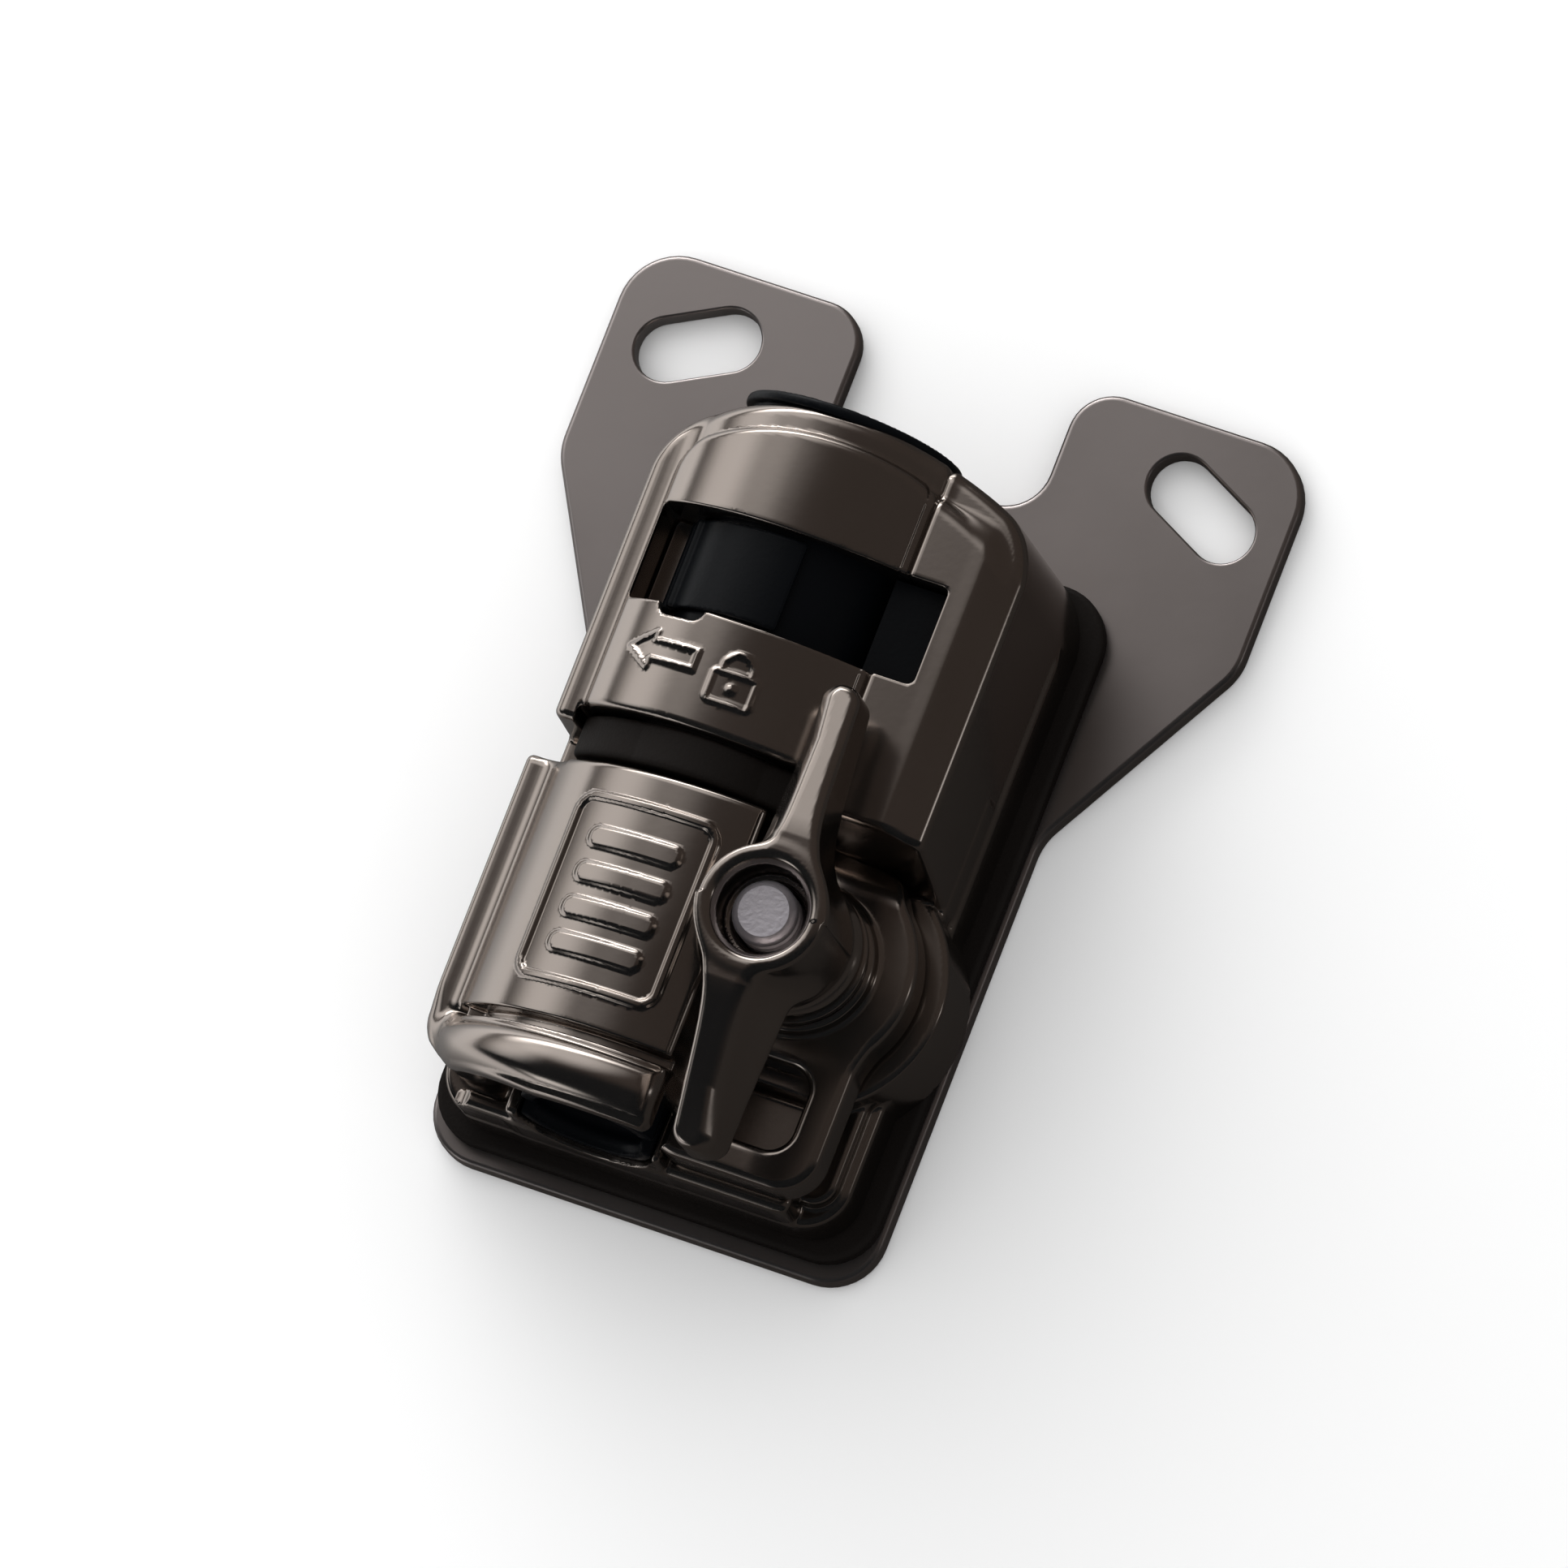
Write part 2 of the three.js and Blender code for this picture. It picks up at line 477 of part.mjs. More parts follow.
// One wing reaching along +Y: a tapered plan, trimmed to its side profile.
function wing() {
  const { reach, tipHalf, rootHalf, underside, tipTop } = WING;
  const plan = new THREE.Shape();
  plan.moveTo(-rootHalf, 0);
  plan.lineTo(rootHalf, 0);
  plan.quadraticCurveTo(tipHalf + 0.6, 10, tipHalf, 15);
  plan.lineTo(tipHalf, reach - tipHalf);
  plan.absarc(0, reach - tipHalf, tipHalf, 0, Math.PI, false);
  plan.lineTo(-tipHalf, 15);
  plan.quadraticCurveTo(-tipHalf - 0.6, 10, -rootHalf, 0);
  const side = new THREE.Shape();
  side.moveTo(0, 33);
  side.quadraticCurveTo(8, 33.5, 9.6, underside);
  side.lineTo(reach - 2, underside);
  side.quadraticCurveTo(reach + 0.5, underside + 0.5, reach, underside + 4);
  side.quadraticCurveTo(reach, tipTop, reach - 4, tipTop);
  side.quadraticCurveTo(18, tipTop, 6, NUT.hubTop);
  side.lineTo(0, NUT.hubTop);
  side.closePath();
  const sideGeometry = new THREE.ExtrudeGeometry(side, { depth: 20, bevelEnabled: false, curveSegments: 5 });
  const upright = new THREE.Matrix4().set(0, 0, 1, -10, 1, 0, 0, 0, 0, 1, 0, 0, 0, 0, 0, 1);
  return alongZ(plan, 30, 55, 5).intersect(solid(sideGeometry.applyMatrix4(upright)));
}

function wingNut() {
  const { hubBottom, hubTop, hubRadius, bore } = NUT;
  const hub = turnedZ([[0, hubBottom], [hubRadius + 0.8, hubBottom], [hubRadius + 0.8, hubBottom + 2],
    [hubRadius, hubBottom + 3.5], [hubRadius, hubTop - 1], [hubRadius - 1, hubTop], [0, hubTop]], 32);
  const { radius, floor } = COUNTERBORE;
  const hole = turnedZ([[0, 0], [bore, 0], [bore, floor], [radius, floor + 0.8], [radius, 60], [0, 60]], 24);
  return hub.add(wing()).add(wing().rotate([0, 0, 180])).subtract(hole);
}

place('wing_nut', wingNut(), blackNickel, STUD.x, STUD.y, 0).rotation.z = rad(WING.turn);

// ---- memory-lock latch, bushes and detent ----

function latchSleeve() {
  let sleeve = turnedY(ringProfile(BUSH_BORE, LATCH.outer, LATCH.bottom, LATCH.top), 40);
  for (const turn of [-90, -135]) {
    const dimple = new THREE.SphereGeometry(1.4, 10, 6);
    const a = rad(turn);
    const r = LATCH.outer + 0.9;
    sleeve = sleeve.subtract(solid(dimple.translate(r * Math.sin(a), DETENT.y, r * Math.cos(a))));
  }
  return sleeve;
}

// The thumb tab: an arc of a ring on the sleeve, with two raised ribs at its leading edge.
function thumbTab() {
  const y0 = WINDOW.bottom + 0.5;
  const y1 = WINDOW.top - 0.5;
  const arc = (inner, outer, from, to) => {
    const shape = new THREE.Shape();
    shape.absarc(0, 0, outer, rad(90 - from), rad(90 - to), true);
    shape.absarc(0, 0, inner, rad(90 - to), rad(90 - from), false);
    return alongY(shape, y0, y1, 5);
  };
  let tab = arc(LATCH.outer + GAP, LATCH.tabOuter - 0.6, LATCH.tabStart, LATCH.tabEnd);
  for (const start of [LATCH.tabStart, LATCH.tabStart + 12]) {
    tab = tab.add(arc(LATCH.outer + 0.5, LATCH.tabOuter, start, start + 5));
  }
  return tab;
}

// A black shield on the floor of the window, beside the sleeve.
place('window_liner', box(WINDOW_LINER.left, WINDOW_LINER.right, WINDOW.bottom + GAP, WINDOW.top - GAP,
  WINDOW.floor, WINDOW_LINER.top), blackNylon);
// A rubber bush: a round neck in the bore under a flange that follows the cover's arc.
function lowerBush() {
  const { outer, neck, bottom, shoulder, top } = BUSH;
  const { left, right, floor, arc } = BUSH_CAP;
  const angle = (edge) => Math.acos((edge - COVER.x) / arc);
  const cap = new THREE.Shape();
  cap.moveTo(left, floor);
  cap.lineTo(right, floor);
  cap.absarc(COVER.x, COVER.z, arc, angle(right), angle(left), false);
  cap.closePath();
  const profile = [[0, bottom], [outer, bottom], [outer, shoulder], [neck, shoulder], [neck, top], [0, top]];
  const round = turnedY(profile, 36).translate([ROD.x, 0, ROD.z]);
  const hole = turnedY(rodProfile(BUSH_BORE, bottom - 1, top + 1), 36).translate([ROD.x, 0, ROD.z]);
  return alongY(cap, bottom, shoulder, 12).add(round).subtract(hole);
}

place('latch_sleeve', latchSleeve(), blackNylon, ROD.x, 0, ROD.z);
place('latch_thumb_tab', thumbTab(), blackNylon, ROD.x, 0, ROD.z);
const collar = [[BUSH_BORE, COLLAR.neckBottom], [COLLAR.neck, COLLAR.neckBottom],
  [COLLAR.neck, COLLAR.flangeBottom], [COLLAR.flange, COLLAR.flangeBottom], [COLLAR.flange, COLLAR.top],
  [BUSH_BORE, COLLAR.top], [BUSH_BORE, COLLAR.neckBottom]];
place('top_collar', turnedY(collar, 36), blackNylon, ROD.x, 0, ROD.z);
place('lower_bush', lowerBush(), blackRubber);

const ballX = ROD.x - LATCH.outer - 0.3 - DETENT.ball;
const ball = solid(new THREE.SphereGeometry(DETENT.ball, 14, 10));
place('detent_ball', ball, springSteel, ballX, DETENT.y, ROD.z);
const detentSpring = coilZ(DETENT.springRadius, DETENT.springWire, 0, DETENT.springLength, 3);
place('detent_spring', detentSpring, springSteel, ballX - DETENT.ball - 0.2, DETENT.y, ROD.z)
  .rotation.y = -Math.PI / 2;
const { head, tip, slotHalf, slotDepth } = DETENT_SCREW;
const screwSlot = box(head - 1, head + slotDepth, -slotHalf, slotHalf, -3, 3);
const detentScrew = turnedX(rodProfile(DETENT.hole - GAP, head, tip, 0.3), 16).subtract(screwSlot);
place('detent_screw', detentScrew, zincSteel, 0, DETENT.y, ROD.z);

assembly.position.set(0, -PLATE.height / 2, PLATE.thick);
const part = new THREE.Group();
part.add(assembly);

export default part;
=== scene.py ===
# Looks of a drum tom mounting bracket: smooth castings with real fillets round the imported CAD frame.
# Shapes are worked out in millimetres in assembly coordinates: x from the plate's centre line,
# y from the plate's lower edge, z from the plate's front face. put() moves them into the row frame.
import itertools
import math

import bmesh
import bpy
import mathutils.geometry
import numpy as np
from mathutils import Matrix, Vector


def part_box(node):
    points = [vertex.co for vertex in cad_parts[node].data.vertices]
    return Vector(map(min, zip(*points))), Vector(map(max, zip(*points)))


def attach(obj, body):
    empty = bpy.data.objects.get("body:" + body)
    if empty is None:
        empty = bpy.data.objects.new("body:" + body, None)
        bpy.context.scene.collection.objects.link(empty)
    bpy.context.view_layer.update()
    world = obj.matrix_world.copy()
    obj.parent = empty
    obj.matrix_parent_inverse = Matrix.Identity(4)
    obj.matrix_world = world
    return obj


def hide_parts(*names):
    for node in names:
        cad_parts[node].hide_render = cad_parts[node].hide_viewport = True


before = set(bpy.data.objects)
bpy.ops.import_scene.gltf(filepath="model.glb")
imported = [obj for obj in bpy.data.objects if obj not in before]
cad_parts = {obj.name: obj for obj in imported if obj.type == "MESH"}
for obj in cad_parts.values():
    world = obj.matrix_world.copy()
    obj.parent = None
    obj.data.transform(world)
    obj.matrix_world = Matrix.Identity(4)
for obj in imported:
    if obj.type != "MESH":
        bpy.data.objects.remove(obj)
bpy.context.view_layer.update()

MM = 0.001
PLATE_LOW, PLATE_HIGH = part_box("mount_plate")
ORIGIN = np.array([0.0, PLATE_LOW.y, PLATE_HIGH.z])


def extent(node):
    """Lowest and highest corner of a CAD node, in millimetres of assembly coordinates."""
    low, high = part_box(node)
    return (np.array(low) - ORIGIN) / MM, (np.array(high) - ORIGIN) / MM


def middle(node):
    low, high = extent(node)
    return (low + high) / 2


# Places taken from the frame
STUD_X, STUD_Y, _ = middle("clamp_stud")
ROD_X, _, ROD_Z = middle("latch_sleeve")
PIN_X, _, PIN_Z = middle("jaw_hinge_pin")
PLATE_T = (PLATE_HIGH.z - PLATE_LOW.z) / MM
PLATE_H = extent("mount_plate")[1][1]
GASKET_LOW, GASKET_HIGH = extent("isolation_gasket")
BODY_LOW, BODY_HIGH = extent("main_body")
JAW_TOP = extent("clamp_jaw")[1][1]


# ---- distance fields: negative inside, in millimetres ----

def length(*parts):
    return np.sqrt(sum(p * p for p in parts))


def join(a, b, r=0.0):
    """Union with a concave fillet of radius r."""
    if np.isscalar(r) and r <= 0:
        return np.minimum(a, b)
    return np.maximum(r, np.minimum(a, b)) - length(np.maximum(r - a, 0), np.maximum(r - b, 0))


def meet(a, b, r=0.0):
    """Intersection with a rounded edge of radius r."""
    return -join(-a, -b, r)


def cut(a, b, r=0.0):
    return meet(a, -b, r)


def slab(v, low, high):
    return np.abs(v - (low + high) / 2) - (high - low) / 2


def rectangle(u, v, u0, u1, v0, v1, r=0.0):
    du = np.abs(u - (u0 + u1) / 2) - (u1 - u0) / 2 + r
    dv = np.abs(v - (v0 + v1) / 2) - (v1 - v0) / 2 + r
    return length(np.maximum(du, 0), np.maximum(dv, 0)) + np.minimum(np.maximum(du, dv), 0) - r


def block(p, low, high, r):
    d = [np.abs(v - (a + b) / 2) - (b - a) / 2 + r for v, a, b in zip(p, low, high)]
    inside = np.minimum(np.maximum(np.maximum(d[0], d[1]), d[2]), 0)
    return length(*[np.maximum(v, 0) for v in d]) + inside - r


def disc(u, v, cu, cv, radius):
    return length(u - cu, v - cv) - radius


def polygon(u, v, points):
    """Distance to a closed outline given by its corners."""
    best = None
    sign = 1.0
    for (ax, ay), (bx, by) in zip(points, points[-1:] + points[:-1]):
        ex, ey = bx - ax, by - ay
        wx, wy = u - ax, v - ay
        t = np.clip((wx * ex + wy * ey) / (ex * ex + ey * ey), 0, 1)
        d2 = (wx - ex * t) ** 2 + (wy - ey * t) ** 2
        best = d2 if best is None else np.minimum(best, d2)
        c1, c2, c3 = v >= ay, v < by, ex * wy > ey * wx
        flip = (c1 & c2 & c3) | (~c1 & ~c2 & ~c3)
        sign = sign * np.where(flip, -1.0, 1.0)
    return sign * np.sqrt(best)


# ---- meshes from fields ----

PROBE = 0.02


def surface_nets(values, low, step):
    """Points and quads where a grid of values changes sign, one point to each cell that it crosses."""
    shape = tuple(n - 1 for n in values.shape)
    total = np.zeros(shape + (3,), np.float32)
    count = np.zeros(shape, np.float32)
    for axis in range(3):
        others = [a for a in range(3) if a != axis]
        for i, j in itertools.product((0, 1), repeat=2):
            near = [0, 0, 0]
            near[others[0]], near[others[1]] = i, j
            far = list(near)
            far[axis] = 1
            fa = values[tuple(slice(o, o + n) for o, n in zip(near, shape))]
            fb = values[tuple(slice(o, o + n) for o, n in zip(far, shape))]
            crosses = ((fa < 0) != (fb < 0)).astype(np.float32)
            t = np.where(crosses > 0, fa / np.where(fa == fb, 1, fa - fb), 0)
            total[..., axis] += crosses * t
            total[..., others[0]] += crosses * i
            total[..., others[1]] += crosses * j
            count += crosses
    has = count > 0
    index = np.full(shape, -1)
    index[has] = np.arange(has.sum())
    points = low + (np.argwhere(has) + total[has] / count[has][:, None]) * step
    faces = []
    for axis in range(3):
        u, v = [(axis + 1) % 3, (axis + 2) % 3]
        size = list(values.shape)
        size[axis] -= 1
        span = [slice(0, size[axis]) if a == axis else slice(1, size[a] - 1) for a in range(3)]
        ahead = [slice(s.start + 1, s.stop + 1) if a == axis else s for a, s in enumerate(span)]
        here, there = values[tuple(span)] < 0, values[tuple(ahead)] < 0
        for inner, turn in ((here & ~there, 1), (~here & there, -1)):
            cells = np.argwhere(inner) + [s.start for s in span]
            ring = []
            for du, dv in ((-1, -1), (0, -1), (0, 0), (-1, 0))[::turn]:
                shifted = cells.copy()
                shifted[:, u] += du
                shifted[:, v] += dv
                ring.append(index[tuple(shifted.T)])
            faces.append(np.stack(ring, 1))
    return points, np.concatenate(faces)


def gradient(field, points):
    out = np.empty_like(points)
    for axis in range(3):
        ahead, back = points.copy(), points.copy()
        ahead[:, axis] += PROBE
        back[:, axis] -= PROBE
        out[:, axis] = (field(tuple(ahead.T)) - field(tuple(back.T))) / (2 * PROBE)
    return out


def onto_edges(field, points, step):
    """Moves points near a crease onto it, where the planes of the surfaces round each point meet."""
    pull = 0.02
    square = np.tile(np.eye(3) * pull, (len(points), 1, 1))
    right, total = np.zeros_like(points), np.zeros_like(points)
    for axis, side in itertools.product(range(3), (-1, 1)):
        probe = points.copy()
        probe[:, axis] += side * 0.45 * step
        slope = gradient(field, probe)
        size = np.maximum(length(*slope.T), 0.2)
        facing = slope / size[:, None]
        away = field(tuple(probe.T)) / size
        offset = (facing * (points - probe)).sum(1) + away
        square += facing[:, :, None] * facing[:, None, :]
        right -= facing * offset[:, None]
        total += facing / 6
    sharp = np.clip((0.9 - length(*total.T)) / 0.08, 0, 1)
    move = np.linalg.solve(square, right[:, :, None])[:, :, 0]
    reach = np.sqrt((move ** 2).sum(1))
    return points + move * (sharp * np.minimum(1, 0.5 * step / np.maximum(reach, 1e-9)))[:, None]


def put(name, points, faces, body, mat, replaces, normals=None):
    """Makes a mesh from millimetre points, in the row frame, riding on a body in place of CAD nodes."""
    mesh = bpy.data.meshes.new(name)
    world = np.asarray(points, float) * MM + ORIGIN
    mesh.from_pydata(world.tolist(), [], [list(map(int, f)) for f in faces])
    mesh.polygons.foreach_set("use_smooth", [True] * len(mesh.polygons))
    if normals is not None:
        mesh.normals_split_custom_set_from_vertices(normals.tolist())
    mesh.update()
    piece = bpy.data.objects.new(name, mesh)
    bpy.context.scene.collection.objects.link(piece)
    mesh.materials.append(mat)
    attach(piece, body)
    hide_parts(*replaces)
    return piece


def carve(name, field, low, high, step, body, mat, slot, replaces):
    """A smooth mesh of a field's zero level, left open where the field runs out of the box."""
    low = np.asarray(low, float) - 2 * step
    counts = np.ceil((np.asarray(high, float) + 2 * step - low) / step).astype(int) + 1
    axes = [low[a] + np.arange(counts[a]) * step for a in range(3)]
    grid = np.meshgrid(*axes, indexing="ij", sparse=True)
    values = np.broadcast_to(field(tuple(grid)), tuple(counts))
    points, faces = surface_nets(values.astype(np.float32), low, step)
    for _ in range(2):
        slope = gradient(field, points)
        size = np.maximum((slope ** 2).sum(1), 0.05)
        move = slope * (field(tuple(points.T)) / size)[:, None]
        reach = np.sqrt((move ** 2).sum(1))
        points -= move * np.minimum(1, 0.4 * step / np.maximum(reach, 1e-9))[:, None]
    points = onto_edges(field, points, step)
    slope = gradient(field, points)
    normals = slope / np.maximum(length(*slope.T), 1e-9)[:, None]
    return put(name, points, faces, body, mat, replaces, normals)


# ---- materials ----

ROUGHNESS_VARIES = 0.3
TINT_SCALE, BUMP_HEIGHT = 60.0, 0.0002


def material(name, color, roughness, metallic=0.0, vary=0.12, grain=0.02, scale=900.0, specular=0.5):
    """A Principled surface with fine noise in its colour, its roughness and its bump."""
    mat = bpy.data.materials.new(name)
    mat.use_nodes = True
    nodes, links = mat.node_tree.nodes, mat.node_tree.links
    shader = nodes["Principled BSDF"]
    shader.inputs["Metallic"].default_value = metallic
    shader.inputs["Specular IOR Level"].default_value = specular
    place = nodes.new("ShaderNodeTexCoord")
    wide, fine = nodes.new("ShaderNodeTexNoise"), nodes.new("ShaderNodeTexNoise")
    wide.inputs["Scale"].default_value = TINT_SCALE
    wide.inputs["Detail"].default_value = 4.0
    fine.inputs["Scale"].default_value = scale
    fine.inputs["Detail"].default_value = 3.0
    tint = nodes.new("ShaderNodeMix")
    tint.data_type = "RGBA"
    tint.inputs[6].default_value = (*[c * (1 - vary) for c in color], 1)
    tint.inputs[7].default_value = (*[min(1, c * (1 + vary)) for c in color], 1)
    gloss = nodes.new("ShaderNodeMapRange")
    gloss.inputs["To Min"].default_value = roughness * (1 - ROUGHNESS_VARIES)
    gloss.inputs["To Max"].default_value = roughness * (1 + ROUGHNESS_VARIES)
    bump = nodes.new("ShaderNodeBump")
    bump.inputs["Strength"].default_value = grain
    bump.inputs["Distance"].default_value = BUMP_HEIGHT
    for noise in (wide, fine):
        links.new(place.outputs["Object"], noise.inputs["Vector"])
    links.new(wide.outputs["Fac"], tint.inputs[0])
    links.new(tint.outputs[2], shader.inputs["Base Color"])
    links.new(wide.outputs["Fac"], gloss.inputs["Value"])
    links.new(gloss.outputs["Result"], shader.inputs["Roughness"])
    links.new(fine.outputs["Fac"], bump.inputs["Height"])
    links.new(bump.outputs["Normal"], shader.inputs["Normal"])
    return mat


NICKEL = material("black_nickel", (0.34, 0.300, 0.272), 0.17, 1.0, vary=0.05)
PLATE_METAL = material("plate_nickel", (0.37, 0.335, 0.325), 0.33, 1.0, vary=0.06)
ZINC = material("zinc_plate", (0.86, 0.82, 0.92), 0.5, 1.0, vary=0.18, grain=0.25, scale=1500)
SPRING = material("spring_steel", (0.42, 0.41, 0.42), 0.28, 1.0)
RUBBER = material("moulded_rubber", (0.0075, 0.0055, 0.0045), 0.65,
                  vary=0.2, grain=0.3, scale=2500, specular=0.12)
NYLON = material("black_nylon", (0.0022, 0.0028, 0.0038), 0.36,
                 vary=0.15, grain=0.1, scale=1800, specular=0.1)


# ---- plate and gasket ----

def rounded(corners):
    """Points of an outline whose corners (x, y, radius) are rounded by arcs."""
    steps = 10
    points = []
    for i, (x, y, radius) in enumerate(corners):
        here = Vector((x, y))
        back = (Vector(corners[i - 1][:2]) - here).normalized()
        on = (Vector(corners[(i + 1) % len(corners)][:2]) - here).normalized()
        half = back.angle(on) / 2
        centre = here + (back + on).normalized() * (radius / math.sin(half))
        start = here + back * (radius / math.tan(half)) - centre
        end = here + on * (radius / math.tan(half)) - centre
        turn = start.angle_signed(end)
        for k in range(steps + 1):
            a = -turn * k / steps
            points.append((centre.x + start.x * math.cos(a) - start.y * math.sin(a),
                           centre.y + start.x * math.sin(a) + start.y * math.cos(a)))
    return points


PLATE_RIGHT = [(29.5, 0, 7), (29.5, 60, 8), (45, 87, 8),
               (45, PLATE_H, 7.5), (14, PLATE_H, 5.5), (14, 97.5, 5.5)]
PLATE_OUTLINE = rounded(PLATE_RIGHT + [(-x, y, r) for x, y, r in reversed(PLATE_RIGHT)])
SLOT_X, SLOT_Y, SLOT_HALF_W, SLOT_HALF_L, SLOT_TURN = 33.3, 104.7, 4.0, 7.9, math.radians(27)
SCREW_PLACES = [tuple(middle(f"plate_screw_{i}")[:2]) for i in (1, 2, 3, 4)]
SCREW_HOLE_R, GASKET_CORNER = 2.8, 7.0
PLATE_EDGE, SLOT_EDGE = 0.7, 0.4


def ring_points(x, y, radius):
    count = 40
    turns = [2 * math.pi * k / count for k in range(count)]
    return [(x + radius * math.cos(a), y + radius * math.sin(a)) for a in turns]


def slot_points(side):
    """A slot's outline: two half circles joined by straight sides."""
    count = 20
    turn, reach = -side * SLOT_TURN, SLOT_HALF_L - SLOT_HALF_W
    points = []
    for end in (1, -1):
        for k in range(count + 1):
            a = turn + (math.pi * k / count - math.pi / 2) + (0 if end == 1 else math.pi)
            points.append((side * SLOT_X + end * reach * math.cos(turn) + SLOT_HALF_W * math.cos(a),
                           SLOT_Y + end * reach * math.sin(turn) + SLOT_HALF_W * math.sin(a)))
    return points


def rolled(low, high, r):
    """Rows of (inset, height, normal out, normal up) round an edge with both its corners rounded by r."""
    steps = 4
    turns = [math.pi / 2 * k / steps for k in range(steps + 1)]
    under = [(r * (1 - math.sin(a)), low + r * (1 - math.cos(a)), math.sin(a), -math.cos(a)) for a in turns]
    over = [(r * (1 - math.cos(a)), high - r * (1 - math.sin(a)), math.cos(a), math.sin(a)) for a in turns]
    return under + over


def sheet(name, loops, mat, replaces):
    """A flat piece of the bracket: an outer loop and hole loops, each with the rows of its edge."""
    points, normals, faces = [], [], []
    lowest, highest = [], []
    for number, (loop, rows) in enumerate(loops):
        loop = [Vector(q) for q in loop]
        area = sum(a.x * b.y - b.x * a.y for a, b in zip(loop, loop[1:] + loop[:1]))
        if (area > 0) != (number == 0):
            loop.reverse()
        count, start = len(loop), len(points)
        out = []
        for i, q in enumerate(loop):
            along = (loop[(i + 1) % count] - loop[i - 1]).normalized()
            out.append(Vector((along.y, -along.x)))
        for inset, height, across, up in rows:
            for q, n in zip(loop, out):
                points.append((q.x - n.x * inset, q.y - n.y * inset, height))
                normals.append((n.x * across, n.y * across, up))
        for k in range(len(rows) - 1):
            for i in range(count):
                j, base = (i + 1) % count, start + k * count
                faces.append((base + i, base + j, base + count + j, base + count + i))
        lowest.append(range(start, start + count))
        highest.append(range(len(points) - count, len(points)))
    for rings, turned in ((highest, False), (lowest, True)):
        order = [i for ring in rings for i in ring]
        flat = [[Vector((points[i][0], points[i][1], 0)) for i in ring] for ring in rings]
        for face in mathutils.geometry.tessellate_polygon(flat):
            a, b, c = [order[i] for i in face]
            pa, pb, pc = (Vector(points[i][:2]) for i in (a, b, c))
            up = (pb - pa).cross(pc - pa) > 0
            faces.append((a, b, c) if up != turned else (c, b, a))
    put(name, points, faces, "bracket", mat, replaces, np.array(normals))


def make_plate():
    loops = [(PLATE_OUTLINE, rolled(-PLATE_T, 0, PLATE_EDGE))]
    loops += [(slot_points(side), rolled(-PLATE_T, 0, SLOT_EDGE)) for side in (-1, 1)]
    # Rows down a countersunk hole: inset, height, normal out, normal up.
    sink = [(-2.5, -PLATE_T, 0, -1), (-2.4, -PLATE_T + 0.1, 0.7, -0.7), (0, -0.65, 0.7, -0.7),
            (0, -0.55, 1, 0), (0, -0.1, 1, 0), (-0.1, 0, 0, 1)]
    loops += [(ring_points(x, y, SCREW_HOLE_R), sink) for x, y in SCREW_PLACES]
    sheet("mount_plate_skin", loops, PLATE_METAL, ["mount_plate"])
    corners = [(GASKET_LOW[0], GASKET_LOW[1]), (GASKET_HIGH[0], GASKET_LOW[1]),
               (GASKET_HIGH[0], GASKET_HIGH[1]), (GASKET_LOW[0], GASKET_HIGH[1])]
    edge = rolled(GASKET_LOW[2], GASKET_HIGH[2], 0.8)
    hole_edge = rolled(GASKET_LOW[2], GASKET_HIGH[2], 0.1)
    holes = [(ring_points(x, y, SCREW_HOLE_R), hole_edge) for x, y in SCREW_PLACES]
    outline = rounded([(x, y, GASKET_CORNER) for x, y in corners])
    sheet("gasket_skin", [(outline, edge)] + holes, RUBBER, ["isolation_gasket"])


# ---- main body ----

WALL_DRAFT = 0.06
BODY_HALF = -BODY_LOW[0]
BODY_FOOT = BODY_LOW[1]
ARCH_TOP, ARCH_RADIUS, ARCH_X = BODY_HIGH[1] + 0.3, 51.0, -0.8
COVER_X, COVER_Z, COVER_R = -5.2, BODY_HIGH[2] - 21.0, 21.0
COVER_LEFT, COVER_RIGHT, COVER_LOW, COVER_WIDE = -21.5, 10.5, 52.4, 36.0
LEDGE_Z, LEDGE_LOW, RIM_Z, PANE_Z, PANE_RIGHT = 28.0, 50.6, 32.0, 33.5, 22.0
WINDOW = (-21.0, 17.0, 66.5, 79.0)
BORE_R, ROD_WAY_R = 13.0, 8.9
CHANNEL_LEFT, CHANNEL_RIGHT, BED_LEFT, BED_RIGHT, FRONT_LEFT = -14.5, 5.8, -16.5, 21.4, -22.4
BED_TOP, SEAT_LOW, FOOT_TOP = 46.2, 46.5, 84.0
FOOT_Z, SIDE_STEP_Z, SHELF_Z, BED_Z, FRONT_Z, CHANNEL_Z = 11, 13.4, 15, 16.6, 17.0, 21.6
STUD_HOLE_R, STUD_HEAD_R, HUB_ROOM_R, SEAT_R = 4.3, 7, 9.8, 14.5
EAR_R, EAR_TOP = 16.5, 16.8
KNUCKLE_R, KNUCKLE_LOW, KNUCKLE_HIGH = 2.95, 17.4, 36.6
DETENT_Y, MARK_HEIGHT = 84.0, 0.32
FAR = 110.0


def ease(t):
    t = np.clip(t, 0, 1)
    return t * t * (3 - 2 * t)


def stroke(distance, width, soft):
    """1 on a line of that width, falling smoothly to 0 beside it."""
    return ease((width / 2 - np.abs(distance)) / soft + 0.5)


